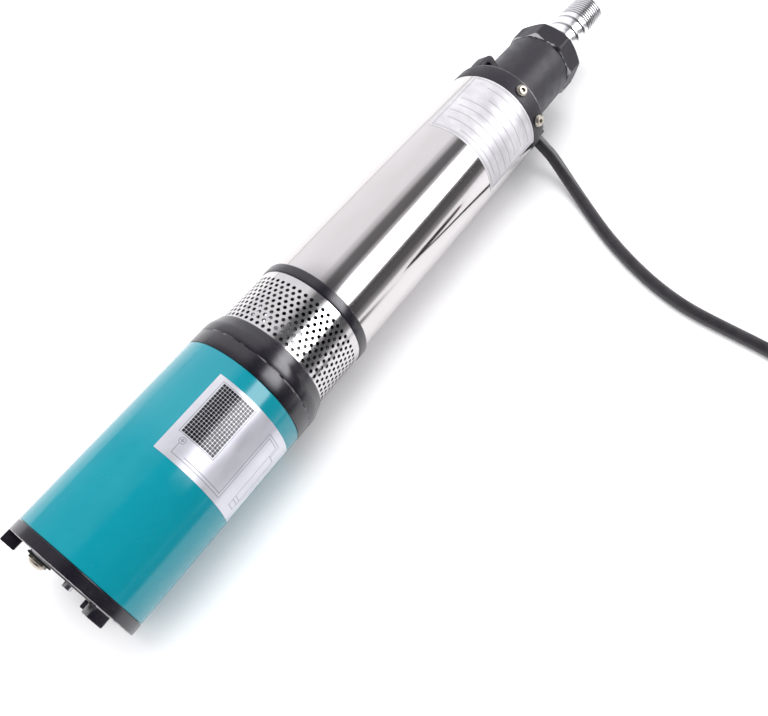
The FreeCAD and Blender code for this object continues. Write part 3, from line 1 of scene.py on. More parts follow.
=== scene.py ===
"""Looks of a submersible screw pump for a well, lying on a pale studio floor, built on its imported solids."""

import logging
import math
from dataclasses import dataclass, replace
from enum import Enum
from functools import cached_property
from typing import Sequence

import bmesh
import bpy
from mathutils import Matrix, Vector


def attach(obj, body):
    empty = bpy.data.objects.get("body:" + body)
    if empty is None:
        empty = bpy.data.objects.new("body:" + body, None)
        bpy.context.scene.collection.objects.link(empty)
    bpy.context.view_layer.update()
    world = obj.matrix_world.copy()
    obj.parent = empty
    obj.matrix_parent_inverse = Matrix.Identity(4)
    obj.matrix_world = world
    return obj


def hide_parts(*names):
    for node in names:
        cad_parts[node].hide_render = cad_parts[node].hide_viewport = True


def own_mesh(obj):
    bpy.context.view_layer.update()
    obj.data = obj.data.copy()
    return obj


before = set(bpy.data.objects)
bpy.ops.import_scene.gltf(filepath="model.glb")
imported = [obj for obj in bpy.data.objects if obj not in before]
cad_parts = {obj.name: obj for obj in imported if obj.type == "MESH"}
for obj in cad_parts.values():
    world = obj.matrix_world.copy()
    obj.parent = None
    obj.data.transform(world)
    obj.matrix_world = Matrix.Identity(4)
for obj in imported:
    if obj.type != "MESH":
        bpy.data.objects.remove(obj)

LOG = logging.getLogger("well_pump")
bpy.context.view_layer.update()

MM = 0.001
MIDDLE = 249.0
AXIS_HEIGHT = 38.0
AROUND = 192
SHARP = 32.0

Shape = bmesh.types.BMesh
Piece = bpy.types.Object
Material = bpy.types.Material
Tree = bpy.types.NodeTree
Pair = tuple[float, float]
Triple = tuple[float, float, float]
Colour = Triple
Corner = Triple


class Body(str, Enum):
    """The moving bodies that a piece can ride on."""

    HOUSING = "housing"


class Slot(str, Enum):
    """The material slots whose finishes the dressed pieces take."""

    TEAL_PAINT = "teal_paint"
    BLACK_MOULDING = "black_moulding"
    POLISHED_STEEL = "polished_steel"
    STRAINER_STEEL = "strainer_steel"
    CHROME = "chrome"
    ROTOR_CHROME = "rotor_chrome"
    SCREW_STEEL = "screw_steel"
    SHAFT_STEEL = "shaft_steel"
    BLACK_RUBBER = "black_rubber"
    STATOR_RUBBER = "stator_rubber"
    FERRITE = "ferrite"
    CORE_STEEL = "core_steel"
    COPPER = "copper"
    CARBON = "carbon"
    HOLDER_PLASTIC = "holder_plastic"
    SEAL_CERAMIC = "seal_ceramic"
    CABLE_RUBBER = "cable_rubber"
    TIE_PLASTIC = "tie_plastic"
    LEAD_PLASTIC = "lead_plastic"


def row_point(station: float, radius: float, turn: float) -> Vector:
    """Give a point of the pump in metres.

    Args:
        station: distance along the axis from the tips of the feet, in millimetres.
        radius: distance from the axis, in millimetres.
        turn: angle about the axis from +Y towards +Z, in degrees.

    Returns:
        The point in the row frame.
    """
    angle = math.radians(turn)
    return Vector((station - MIDDLE, radius * math.cos(angle), AXIS_HEIGHT + radius * math.sin(angle))) * MM


def soft_share(value: float, start: float, end: float) -> float:
    """Give how far a value has come from a start to an end, from 0 to 1 with soft ends."""
    share = min(max((value - start) / (end - start), 0.0), 1.0)
    return share * share * (3 - 2 * share)


def linked(name: str, data: object) -> Piece:
    """Make an object and link it to the scene.

    Args:
        name: its name.
        data: its mesh, curve, light or camera.

    Returns:
        The object.
    """
    piece = bpy.data.objects.new(name, data)
    bpy.context.scene.collection.objects.link(piece)
    return piece


@dataclass(frozen=True)
class Viewpoint:
    """The camera of the picture, with a lens that is shifted as far as the framing needs."""

    place: Vector = Vector((-0.23965, -0.15580, 0.43882))
    ahead: Vector = Vector((0.39269, 0.29915, -0.86966))
    right: Vector = Vector((0.60600, -0.79550, 0.0))
    lens: float = 39.45
    shift: Pair = (0.0573, -0.0365)
    reach: Pair = (0.01, 30.0)

    def build(self) -> None:
        """Make the camera and give it to the scene."""
        data = bpy.data.cameras.new("viewpoint")
        data.sensor_width = 36.0
        data.lens = self.lens
        data.shift_x, data.shift_y = self.shift
        data.clip_start, data.clip_end = self.reach
        camera = linked("viewpoint", data)
        back = -self.ahead.normalized()
        up = back.cross(self.right.normalized()).normalized()
        side = up.cross(back).normalized()
        turn = Matrix((side, up, back)).transposed().to_4x4()
        camera.matrix_world = Matrix.Translation(self.place) @ turn
        bpy.context.scene.camera = camera


# Shader values


def feed(tree: Tree, socket: bpy.types.NodeSocket, value: object) -> None:
    """Link a signal to a socket, or set the socket to a plain value.

    Args:
        tree: the node tree.
        socket: the input socket.
        value: the signal or the value.
    """
    if isinstance(value, Signal):
        tree.links.new(value.socket, socket)
    else:
        socket.default_value = value


def laid(tree: Tree, kind: str, output: object, inputs: dict[object, object], **settings: object) -> "Signal":
    """Lay out a shader node.

    Args:
        tree: the node tree.
        kind: the node's type, without its usual beginning.
        output: the name or number of the output that is wanted.
        inputs: a signal or a value for each input, by its name or number.
        settings: the node's own properties.

    Returns:
        The output.
    """
    node = tree.nodes.new("ShaderNode" + kind)
    for name, value in settings.items():
        setattr(node, name, value)
    for name, value in inputs.items():
        feed(tree, node.inputs[name], value)
    return Signal(tree, node.outputs[output])


class Signal:
    """A value in a node tree, which lays out Math nodes where it is reckoned with."""

    def __init__(self, tree: Tree, socket: bpy.types.NodeSocket) -> None:
        """Hold an output socket and its tree."""
        self.tree, self.socket = tree, socket

    def math(self, operation: str, *others: object, clamp: bool = False) -> "Signal":
        """Lay out a Math node whose first input is this signal.

        Args:
            operation: the operation's name.
            others: its further inputs in order, each a signal or a number.
            clamp: keep the result between 0 and 1.

        Returns:
            The result.
        """
        return laid(self.tree, "Math", 0, dict(enumerate((self, *others))), operation=operation, use_clamp=clamp)

    def __add__(self, other: object) -> "Signal":
        """Add a signal or a number."""
        return self.math("ADD", other)

    def __sub__(self, other: object) -> "Signal":
        """Take a signal or a number away."""
        return self.math("SUBTRACT", other)

    def __rsub__(self, other: float) -> "Signal":
        """Take the signal away from a number."""
        return laid(self.tree, "Math", 0, {0: other, 1: self}, operation="SUBTRACT")

    def __mul__(self, other: object) -> "Signal":
        """Multiply by a signal or a number."""
        return self.math("MULTIPLY", other)

    def __abs__(self) -> "Signal":
        """Drop the sign."""
        return self.math("ABSOLUTE")

    def larger(self, other: object) -> "Signal":
        """Keep the larger one of this and another value."""
        return self.math("MAXIMUM", other)

    def beside(self, other: "Signal") -> "Signal":
        """Give the distance that two values at a right angle span."""
        return (self * self + other * other).math("SQRT")

    def step(self, low: object, high: object) -> "Signal":
        """Give a soft step from 0 to 1 between two edges."""
        edges = {"Value": self, "From Min": low, "From Max": high}
        return laid(self.tree, "MapRange", "Result", edges, interpolation_type="SMOOTHSTEP")

    def between(self, low: float, high: float) -> "Signal":
        """Turn a mask into a value between two numbers."""
        return laid(self.tree, "MapRange", "Result", {"Value": self, "To Min": low, "To Max": high})


def split(vector: Signal) -> tuple[Signal, ...]:
    """Take a vector apart.

    Args:
        vector: the vector.

    Returns:
        Its three parts.
    """
    node = vector.tree.nodes.new("ShaderNodeSeparateXYZ")
    feed(vector.tree, node.inputs["Vector"], vector)
    return tuple(Signal(vector.tree, output) for output in node.outputs)


# Node groups for the effects that several finishes share


class Group:
    """A shader node group that turns a vector and some numbers into a mask or another value."""

    def __init__(self, name: str, output: str = "Mask", **numbers: float) -> None:
        """Start the group.

        Args:
            name: the group's name.
            output: its output's name.
            numbers: the default of each number, by its socket's name in small letters.
        """
        self.tree = bpy.data.node_groups.new(name, "ShaderNodeTree")
        sockets = self.tree.interface
        sockets.new_socket("Vector", in_out="INPUT", socket_type="NodeSocketVector")
        for label, value in numbers.items():
            socket = sockets.new_socket(label.capitalize(), in_out="INPUT", socket_type="NodeSocketFloat")
            socket.default_value = value
        sockets.new_socket(output, in_out="OUTPUT", socket_type="NodeSocketFloat")
        self.start = self.tree.nodes.new("NodeGroupInput")

    def __getitem__(self, name: str) -> Signal:
        """Give one of the group's inputs by its name in small letters."""
        return Signal(self.tree, self.start.outputs[name.capitalize()])

    def noise(self, scale: object, detail: float = 2.0, vector: Signal | None = None) -> Signal:
        """Lay out a noise texture on the group's vector or another one."""
        inputs = {"Vector": vector or self["vector"], "Scale": scale, "Detail": detail}
        return laid(self.tree, "TexNoise", "Fac", inputs)

    def pump_place(self) -> tuple[Signal, Signal]:
        """Give the station along the pump and the distance from its axis, in millimetres."""
        along, across, up = (part * 1000.0 for part in split(self["vector"]))
        return along + MIDDLE, across.beside(up - AXIS_HEIGHT)

    def giving(self, result: Signal) -> Tree:
        """Put the result out.

        Args:
            result: the group's result.

        Returns:
            The finished group.
        """
        end = self.tree.nodes.new("NodeGroupOutput")
        feed(self.tree, end.inputs[0], result)
        return self.tree


def grain_group() -> Tree:
    """Lay out uneven grain, as a value from 0 to 1, from coarse clouds and a fine pattern.

    Returns:
        The group.
    """
    group = Group("Surface grain", "Value", scale=60.0, fineness=8.0)
    clouds = group.noise(group["scale"], 4.0)
    fine = group.noise(group["scale"] * group["fineness"])
    return group.giving((clouds * 0.7 + fine * 0.3).step(0.32, 0.68))


def scratch_group() -> Tree:
    """Lay out thin scratches that run mostly one way, as a mask.

    Returns:
        The group.
    """
    group = Group("Fine scratches", scale=30.0, stretch=14.0, share=0.1)
    masks = []
    for tilt in (0.35, -1.1):
        scale = laid(group.tree, "CombineXYZ", "Vector", {"X": 1.0, "Y": 1.0, "Z": group["stretch"]})
        run = laid(group.tree, "Mapping", "Vector", {
            "Vector": group["vector"], "Rotation": (tilt, 0.4 * tilt, 0.9 * tilt), "Scale": scale})
        ridge = abs(group.noise(group["scale"], 3.0, run) - 0.5)
        masks.append(1.0 - ridge.step(0.0, group["share"] * 0.06))
    where = group.noise(35.0).step(0.48, 0.66)
    return group.giving(masks[0].larger(masks[1]) * where)


def speck_group() -> Tree:
    """Lay out small specks of dust that gather in places, as a mask.

    Returns:
        The group.
    """
    group = Group("Dust specks", scale=900.0, share=0.2)
    cells = laid(group.tree, "TexVoronoi", "Distance", {
        "Vector": group["vector"], "Scale": group["scale"], "Randomness": 1.0})
    size = group["share"] * 0.9
    dots = 1.0 - cells.step(size * 0.6, size)
    return group.giving(dots * group.noise(70.0, 3.0).step(0.5, 0.72))


def rectangle_group() -> Tree:
    """Lay out a rectangle with soft edges on a flat pattern, as a mask.

    Returns:
        The group.
    """
    group = Group("Rectangle", left=0.0, right=1.0, low=0.0, high=1.0, softness=0.1)
    along, across, _ = split(group["vector"])
    parts = []
    for place, low, high in ((along, group["left"], group["right"]), (across, group["low"], group["high"])):
        half = (high - low) * 0.5
        parts.append(1.0 - abs(place - (low + high) * 0.5).step(half, half + group["softness"]))
    return group.giving(parts[0] * parts[1])


def cell_group() -> Tree:
    """Lay out rows of small cells with rounded corners, as a mask, for a pattern counted in cells.

    Returns:
        The group.
    """
    group = Group("Round cells", gap=0.16, rounding=0.24)
    reach = 0.5 - group["gap"] - group["rounding"]
    over = [(abs(place.math("FRACT") - 0.5) - reach).larger(0.0) for place in split(group["vector"])[:2]]
    away = over[0].beside(over[1])
    return group.giving(1.0 - away.step(group["rounding"] * 0.8, group["rounding"] * 1.25))


def rim_glint_and_scuff_group() -> Tree:
    """Lay out a light line round the pump's axis at a station and a radius, broken up by noise, as a mask: partly
    painted edge highlight, partly scuffing.

    Returns:
        The group.
    """
    group = Group("Rim glint and scuff", station=0.0, radius=38.0, width=0.4, wear=0.5)
    station, radius = group.pump_place()
    away = (station - group["station"]).beside(radius - group["radius"])
    reach = group["width"] * (group.noise(260.0, 5.0) * 2.4 + -0.2)
    near = 1.0 - away.step(reach * 0.5, reach)
    low = 0.74 - group["wear"] * 0.5
    return group.giving(near * group.noise(42.0, 4.0).step(low, low + 0.14))


def painted_inner_shade_group() -> Tree:
    """Mark every surface nearer the pump's axis than a radius, such as the inner side of a wrapped sheet, for painted
    shade.
    """
    group = Group("Painted inner shade", radius=34.0)
    return group.giving(1.0 - group.pump_place()[1].step(group["radius"], group["radius"] + 0.25))


GROUPS: dict[str, Tree] = {
    "grain": grain_group(), "scratch": scratch_group(), "speck": speck_group(), "rectangle": rectangle_group(),
    "cells": cell_group(), "rim": rim_glint_and_scuff_group(), "bore": painted_inner_shade_group()}


class Shader:
    """A material's node tree while it is being laid out."""

    def __init__(self, name: str) -> None:
        """Start a material with one Principled shader.

        Args:
            name: the material's name.
        """
        self.material = bpy.data.materials.new(name)
        self.material.use_nodes = True
        self.tree = self.material.node_tree
        self.surface = self.tree.nodes["Principled BSDF"]

    @cached_property
    def spot(self) -> Signal:
        """Give the place on the object."""
        return laid(self.tree, "TexCoord", "Object", {})

    @cached_property
    def flat(self) -> Signal:
        """Give the place on a label's flat map, in millimetres."""
        return laid(self.tree, "UVMap", "UV", {}, uv_map="Flat")

    def effect(self, key: str, vector: Signal, **values: object) -> Signal:
        """Place a shared node group.

        Args:
            key: the group's key.
            vector: the coordinates.
            values: numbers or signals for its other inputs, by their names in small letters.

        Returns:
            The group's output.
        """
        inputs = {name.capitalize(): value for name, value in values.items()}
        return laid(self.tree, "Group", 0, {"Vector": vector, **inputs}, node_tree=GROUPS[key])

    def mapped(self, vector: Signal, scale: Sequence[float], offset: Sequence[float] = (0, 0, 0)) -> Signal:
        """Scale and shift coordinates."""
        return laid(self.tree, "Mapping", "Vector", {"Vector": vector, "Scale": scale, "Location": offset})

    def mixed(self, factor: Signal, first: object, second: object) -> Signal:
        """Mix two colours, each a signal or three numbers, by a mask."""
        first, second = (value if isinstance(value, Signal) else (*value, 1.0) for value in (first, second))
        return laid(self.tree, "Mix", 2, {0: factor, 6: first, 7: second}, data_type="RGBA")

    def bumped(self, height: Signal, depth: float) -> None:
        """Let a mask raise the surface by a depth in metres."""
        inputs = {"Strength": 1.0, "Distance": depth, "Height": height}
        self.put("Normal", laid(self.tree, "Bump", "Normal", inputs))

    def put(self, socket: str, value: object) -> None:
        """Set or link a socket of the shader."""
        feed(self.tree, self.surface.inputs[socket], value)


# Finishes

# How far each kind of mark covers a finish's colour, and how much rougher it makes it. A rim's light line is partly
# painted edge highlight and partly scuffing; the bore mark is painted shade.
MARKS: dict[str, Pair] = {"scratch": (0.4, 0.12), "speck": (0.7, 0.3), "rim": (0.8, 0.25), "bore": (1.0, 0.5)}


@dataclass(frozen=True)
class Finish:
    """A plain surface finish with grain, fine scratches, dust, light rim lines of painted edge highlight and scuffing,
    and an inner side in painted shade.

    A rim is given by its station, its radius, its width and the share of its light line that shows, from 0 to 1; the
    line is partly painted edge highlight and partly scuffing.
    """

    name: str
    colour: Colour
    shade: Colour
    metallic: float = 0.0
    roughness: Pair = (0.3, 0.45)
    grain: float = 60.0
    scratches: float = 0.0
    specks: float = 0.0
    speck_colour: Colour = (0.4, 0.39, 0.38)
    depth: float = 0.00001
    gloss: float = 0.5
    stretch: Triple = (1.0, 1.0, 1.0)
    rims: tuple[tuple[float, float, float, float], ...] = ()
    rim_glint_and_scuff_colour: Colour = (0.36, 0.35, 0.37)
    bore: float = 0.0
    painted_inner_shade_colour: Colour = (0.02, 0.02, 0.02)

    def material(self) -> Material:
        """Lay out the grain, then each mark by its kind, mask and colour.

        Returns:
            The material.
        """
        shader = Shader(self.name)
        spot = shader.spot
        grain = shader.effect("grain", shader.mapped(spot, self.stretch), scale=self.grain)
        height, marks = grain, []
        if self.scratches:
            mask = shader.effect("scratch", spot, share=self.scratches)
            light = tuple(min(1.0, 1.7 * part + 0.05) for part in self.colour)
            marks.append(("scratch", mask, light))
            height = grain - mask
        if self.specks:
            marks.append(("speck", shader.effect("speck", spot, share=self.specks), self.speck_colour))
        # Light lines along rims: partly painted edge highlight, partly scuffing.
        for station, radius, width, wear in self.rims:
            mask = shader.effect("rim", spot, station=station, radius=radius, width=width, wear=wear)
            marks.append(("rim", mask, self.rim_glint_and_scuff_colour))
        # Painted shade: surfaces inside the bore radius take a dark colour.
        if self.bore:
            marks.append(("bore", shader.effect("bore", spot, radius=self.bore), self.painted_inner_shade_colour))
        colour, rough = shader.mixed(grain, self.shade, self.colour), grain.between(*self.roughness)
        for kind, mask, tint in marks:
            strength, rougher = MARKS[kind]
            colour = shader.mixed(mask * strength, colour, tint)
            rough = rough.math("ADD", mask * rougher, clamp=True)
        shader.put("Base Color", colour)
        shader.put("Roughness", rough)
        shader.put("Metallic", self.metallic)
        shader.put("Specular IOR Level", self.gloss)
        shader.bumped(height, self.depth)
        return shader.material


FINISHES: dict[Slot, Finish] = {
    Slot.TEAL_PAINT: Finish("Teal enamel", (0.002, 0.236, 0.296), (0.001, 0.220, 0.282), 0.0, (0.10, 0.14), 18.0,
                            specks=0.14, speck_colour=(0.2, 0.45, 0.5), depth=0.000002),
    # Its rims carry light lines that are partly painted edge highlight and partly scuffing.
    Slot.BLACK_MOULDING: Finish(
        "Black moulding", (0.0080, 0.0062, 0.0118), (0.0058, 0.0046, 0.0092), 0.0, (0.19, 0.27), 70.0,
        specks=0.16, speck_colour=(0.13, 0.125, 0.14), depth=0.000006, gloss=0.66, rims=(
            (5.9, 37.9, 0.42, 0.95), (12.1, 37.9, 0.30, 0.3), (137.9, 38.0, 0.36, 0.72), (128.8, 37.9, 0.4, 0.25),
            (192.2, 34.9, 0.45, 0.3), (186.0, 34.9, 0.4, 0.2))),
    Slot.POLISHED_STEEL: Finish("Polished steel", (0.63, 0.615, 0.62), (0.60, 0.575, 0.57), 1.0, (0.07, 0.12), 11.0,
                                specks=0.10, speck_colour=(0.45, 0.42, 0.41), depth=0.000003,
                                stretch=(0.35, 1.0, 1.0)),
    # Its inner side is painted dark: painted shade for the dim inside of the pump seen through the holes.
    Slot.STRAINER_STEEL: Finish("Perforated steel", (0.62, 0.61, 0.61), (0.54, 0.53, 0.54), 1.0, (0.08, 0.15), 60.0,
                                depth=0.000004, bore=34.1),
    Slot.CHROME: Finish("Plated brass", (0.93, 0.93, 0.95), (0.88, 0.88, 0.90), 1.0, (0.22, 0.32), 50.0,
                        depth=0.000004),
    Slot.ROTOR_CHROME: Finish("Plated screw", (0.82, 0.82, 0.84), (0.76, 0.76, 0.78), 1.0, (0.06, 0.14), 40.0,
                              depth=0.000004),
    Slot.SCREW_STEEL: Finish("Screw steel", (0.56, 0.52, 0.44), (0.46, 0.42, 0.35), 1.0, (0.26, 0.38), 120.0,
                             depth=0.000006),
    Slot.SHAFT_STEEL: Finish("Ground steel", (0.66, 0.66, 0.67), (0.56, 0.56, 0.58), 1.0, (0.16, 0.28), 60.0,
                             scratches=0.2, stretch=(3.0, 1.0, 1.0), depth=0.000005),
    Slot.BLACK_RUBBER: Finish("Black rubber", (0.018, 0.018, 0.019), (0.012, 0.012, 0.012), 0.0, (0.52, 0.66), 200.0,
                              specks=0.2),
    Slot.STATOR_RUBBER: Finish("Stator rubber", (0.024, 0.023, 0.024), (0.015, 0.015, 0.016), 0.0, (0.45, 0.6), 140.0),
    Slot.FERRITE: Finish("Ferrite", (0.075, 0.072, 0.072), (0.05, 0.048, 0.05), 0.0, (0.5, 0.65), 220.0),
    Slot.CORE_STEEL: Finish("Stacked steel", (0.36, 0.36, 0.37), (0.2, 0.2, 0.21), 1.0, (0.3, 0.45), 260.0,
                            stretch=(6.0, 0.4, 0.4)),
    Slot.COPPER: Finish("Winding copper", (0.72, 0.26, 0.10), (0.5, 0.15, 0.05), 1.0, (0.22, 0.34), 240.0,
                        stretch=(0.3, 1.0, 1.0)),
    Slot.CARBON: Finish("Brush carbon", (0.045, 0.045, 0.047), (0.03, 0.03, 0.03), 0.0, (0.55, 0.7), 300.0),
    Slot.HOLDER_PLASTIC: Finish("Holder plastic", (0.32, 0.27, 0.19), (0.27, 0.22, 0.15), 0.0, (0.38, 0.5), 120.0),
    Slot.SEAL_CERAMIC: Finish("Seal ceramic", (0.78, 0.75, 0.70), (0.7, 0.67, 0.62), 0.0, (0.2, 0.3), 120.0),
    Slot.CABLE_RUBBER: Finish("Cable rubber", (0.027, 0.0245, 0.028), (0.018, 0.0165, 0.0195), 0.0, (0.34, 0.44),
                              180.0, specks=0.22, speck_colour=(0.12, 0.12, 0.13), depth=0.00002),
    Slot.TIE_PLASTIC: Finish("Tie plastic", (0.02, 0.02, 0.022), (0.014, 0.014, 0.015), 0.0, (0.34, 0.46), 150.0),
    Slot.LEAD_PLASTIC: Finish("Lead covering", (0.42, 0.03, 0.025), (0.34, 0.02, 0.018), 0.0, (0.34, 0.46), 150.0),
}

# The light lines at the skirt's rim, the ledge and the nut's chamfers are partly painted edge highlight and partly
# scuffing.
CAST_MOULDING = replace(
    FINISHES[Slot.BLACK_MOULDING], name="Rough black moulding", colour=(0.0146, 0.0122, 0.0192),
    shade=(0.0106, 0.0090, 0.0142), roughness=(0.42, 0.56), grain=140.0, depth=0.00003, specks=0.24, gloss=0.42,
    rim_glint_and_scuff_colour=(0.44, 0.43, 0.45), rims=(
        (381.9, 32.5, 1.3, 0.62), (386.9, 26.1, 1.1, 0.62), (430.2, 23.6, 1.25, 0.78), (431.4, 24.2, 0.8, 0.7)))

NODE_SLOTS: dict[Slot, tuple[str, ...]] = {
    Slot.SCREW_STEEL: ("flange_screws", "pillar_screws"),
    Slot.SHAFT_STEEL: ("centre_screw", "motor_shaft", "bearing_outer_rings", "bearing_inner_rings", "coupling_hub",
                       "coupling_cap", "rotor_cap", "connecting_rod", "stator_sleeve"),
    Slot.ROTOR_CHROME: ("screw_rotor",),
    Slot.BLACK_MOULDING: ("head_adapter", "valve_retainer"),
    Slot.BLACK_RUBBER: ("cap_oring", "plug_washer", "cover_oring", "flange_oring", "adapter_oring", "valve_seat",
                        "outlet_gasket", "cable_gland"),
    Slot.STATOR_RUBBER: ("stator_rubber",),
    Slot.FERRITE: ("field_magnets",),
    Slot.CORE_STEEL: ("armature_core",),
    Slot.COPPER: ("armature_winding", "commutator"),
    Slot.CARBON: ("brushes", "shaft_seal"),
    Slot.HOLDER_PLASTIC: ("brush_holder", "valve_poppet"),
    Slot.SEAL_CERAMIC: ("seal_seat",),
    Slot.CABLE_RUBBER: ("riser_wire",),
    Slot.TIE_PLASTIC: ("coil_tie",),
    Slot.LEAD_PLASTIC: ("cable_leads",),
}


class Finisher:
    """Makes each finish's material once and dresses pieces in it."""

    def __init__(self) -> None:
        """Start with no materials made."""
        self.made: dict[Finish, Material] = {}

    def get(self, finish: Finish) -> Material:
        """Find the material of a finish, made on first use.

        Args:
            finish: the finish.

        Returns:
            Its material.
        """
        if finish not in self.made:
            self.made[finish] = finish.material()
        return self.made[finish]

    def dress(self, piece: Piece, slot: Slot, finish: Finish | None = None) -> None:
        """Give a piece the material of a slot's finish, or of another finish.

        Args:
            piece: the piece.
            slot: the slot.
            finish: the material's finish, where it isn't the slot's own.
        """
        piece.data.materials.clear()
        piece.data.materials.append(self.get(finish or FINISHES[slot]))

    def dress_nodes(self) -> None:
        """Dress the solids that keep their own meshes."""
        for slot, names in NODE_SLOTS.items():
            for name in names:
                self.dress(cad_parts[name], slot)


FINISHER = Finisher()


# Mesh helpers


def meshed(shape: Shape, name: str) -> bpy.types.Mesh:
    """Turn a bmesh into a mesh and free it.

    Args:
        shape: the bmesh.
        name: the mesh's name.

    Returns:
        The mesh.
    """
    mesh = bpy.data.meshes.new(name)
    shape.to_mesh(mesh)
    shape.free()
    return mesh


def finished(shape: Shape, name: str, replaced: Sequence[str] = (), slot: Slot | None = None,
             finish: Finish | None = None) -> Piece:
    """Turn a finished bmesh into a piece of the housing, smooth but for its sharp edges.

    Args:
        shape: the mesh, in the row frame.
        name: the piece's name.
        replaced: the solids that it stands for.
        slot: its material slot, or nothing where it gets its own material.
        finish: its finish, where it isn't the slot's own.

    Returns:
        The piece.
    """
    for face in shape.faces:
        face.smooth = True
    for edge in shape.edges:
        edge.smooth = not (len(edge.link_faces) == 2 and edge.calc_face_angle(0.0) > math.radians(SHARP))
    piece = linked(name, meshed(shape, name))
    if slot is not None:
        FINISHER.dress(piece, slot, finish)
    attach(piece, Body.HOUSING.value)
    if replaced:
        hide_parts(*replaced)
    LOG.info("%s: %d faces", name, len(piece.data.polygons))
    return piece


def bevelled(shape: Shape, geometry: Sequence[object], offset: float, affect: str = "EDGES",
             segments: int = 3) -> None:
    """Round some edges or corners of a mesh.

    Args:
        shape: the mesh.
        geometry: the edges or corners.
        offset: the size of the rounding, in millimetres.
        affect: EDGES or VERTICES.
        segments: the number of segments in the rounding.
    """
    bmesh.ops.bevel(shape, geom=geometry, offset=offset * MM, offset_type="OFFSET", affect=affect, segments=segments,
                    profile=0.5, material=-1)


def rims_rounded(shape: Shape, offset: float, sharper: float) -> None:
    """Round all edges that are sharper than an angle in radians."""
    rims = [edge for edge in shape.edges if len(edge.link_faces) == 2 and edge.calc_face_angle(0.0) > sharper]
    bevelled(shape, rims, offset)


def outlined(points: Sequence[Vector], rounded: Sequence[tuple[float, Sequence[int]]], segments: int = 3) -> Shape:
    """Draw a closed outline with some of its corners rounded.

    Args:
        points: the corners.
        rounded: each rounding in millimetres, with the corners that have it by number.
        segments: the number of segments in a rounding.

    Returns:
        The outline as a mesh of edges only.
    """
    shape = bmesh.new()
    corners = [shape.verts.new(point) for point in points]
    shape.faces.new(corners)
    for rounding, chosen in rounded:
        bevelled(shape, [corners[index] for index in chosen], rounding, "VERTICES", segments)
    bmesh.ops.delete(shape, geom=shape.faces[:], context="FACES_ONLY")
    return shape


def turned(corners: Sequence[Corner], start: float = 0.0, segments: int = 3) -> Shape:
    """Turn a closed outline about the pump's axis.

    Args:
        corners: station, radius and rounding of each corner, in millimetres.
        start: the angle of the first outline.
        segments: the number of segments in a rounding.

    Returns:
        The closed mesh, with its faces outwards.
    """
    roundings = sorted({corner[2] for corner in corners if corner[2] > 0})
    rounded = [(rounding, [index for index, corner in enumerate(corners) if corner[2] == rounding])
               for rounding in roundings]
    shape = outlined([row_point(station, radius, start) for station, radius, _ in corners], rounded, segments)
    bmesh.ops.spin(shape, geom=shape.verts[:] + shape.edges[:], cent=row_point(0, 0, 0), axis=(1, 0, 0),
                   angle=2 * math.pi, steps=AROUND, use_merge=True)
    bmesh.ops.remove_doubles(shape, verts=shape.verts[:], dist=1e-7)
    bmesh.ops.recalc_face_normals(shape, faces=shape.faces[:])
    return shape


def spun_upright(outline: Sequence[Pair], rounded: Sequence[tuple[float, Sequence[int]]], hexagon: float,
                 ring: Pair, floor: float = -100.0, limit: float = 100.0) -> Shape:
    """Turn an outline about the Z axis and pull one ring of it to six flats.

    Args:
        outline: radius and height of each corner, in millimetres.
        rounded: each rounding, with the corners that have it by number.
        hexagon: half the distance across the flats.
        ring: the points between these two radii are pulled.
        floor: only points above this height are pulled.
        limit: the largest radius that a corner of the flats keeps.

    Returns:
        The mesh, upright at the origin.
    """
    shape = outlined([Vector((radius, 0, height)) * MM for radius, height in outline], rounded, 2)
    bmesh.ops.spin(shape, geom=shape.verts[:] + shape.edges[:], cent=(0, 0, 0), axis=(0, 0, 1),
                   angle=2 * math.pi, steps=48, use_merge=True)
    for point in shape.verts:
        radius = math.hypot(point.co.x, point.co.y)
        if ring[0] * MM < radius < ring[1] * MM and point.co.z > floor * MM:
            away = math.degrees(math.atan2(point.co.y, point.co.x)) % 60 - 30
            reach = min(limit, hexagon / math.cos(math.radians(away))) * MM
            point.co.x *= reach / radius
            point.co.y *= reach / radius
    bmesh.ops.recalc_face_normals(shape, faces=shape.faces[:])
    return shape


def added(shape: Shape, other: Shape, place: Matrix | None = None) -> None:
    """Add a second mesh to a first one and free the second.

    Args:
        shape: the first mesh.
        other: the second mesh.
        place: the matrix that moves it.
    """
    if place is not None:
        bmesh.ops.transform(other, matrix=place, verts=other.verts[:])
    mesh = meshed(other, "joined")
    shape.from_mesh(mesh)
    bpy.data.meshes.remove(mesh)


def faced_out(shape: Shape) -> None:
    """Turn the faces of an open sheet away from the pump's axis.

    Args:
        shape: the sheet, wrapped round the axis.
    """
    bmesh.ops.recalc_face_normals(shape, faces=shape.faces[:])
    sample = shape.faces[:][0]
    middle = sample.calc_center_median() - row_point(0, 0, 0)
    if sample.normal.dot(Vector((0, middle.y, middle.z))) < 0:
        bmesh.ops.reverse_faces(shape, faces=shape.faces[:])


def outward_frame(station: float, radius: float, turn: float) -> Matrix:
    """Give the frame of a small part whose Z axis points away from the pump's axis.

    Args:
        station: where its origin lies along the axis, in millimetres.
        radius: how far its origin lies from the axis.
        turn: its angle about the axis from +Y towards +Z, in degrees.

    Returns:
        The matrix.
    """
    outward = (row_point(0, 1, turn) - row_point(0, 0, turn)).normalized()
    along = Vector((1, 0, 0))
    axes = Matrix((along, outward.cross(along), outward)).transposed().to_4x4()
    return Matrix.Translation(row_point(station, radius, turn)) @ axes


# Cable


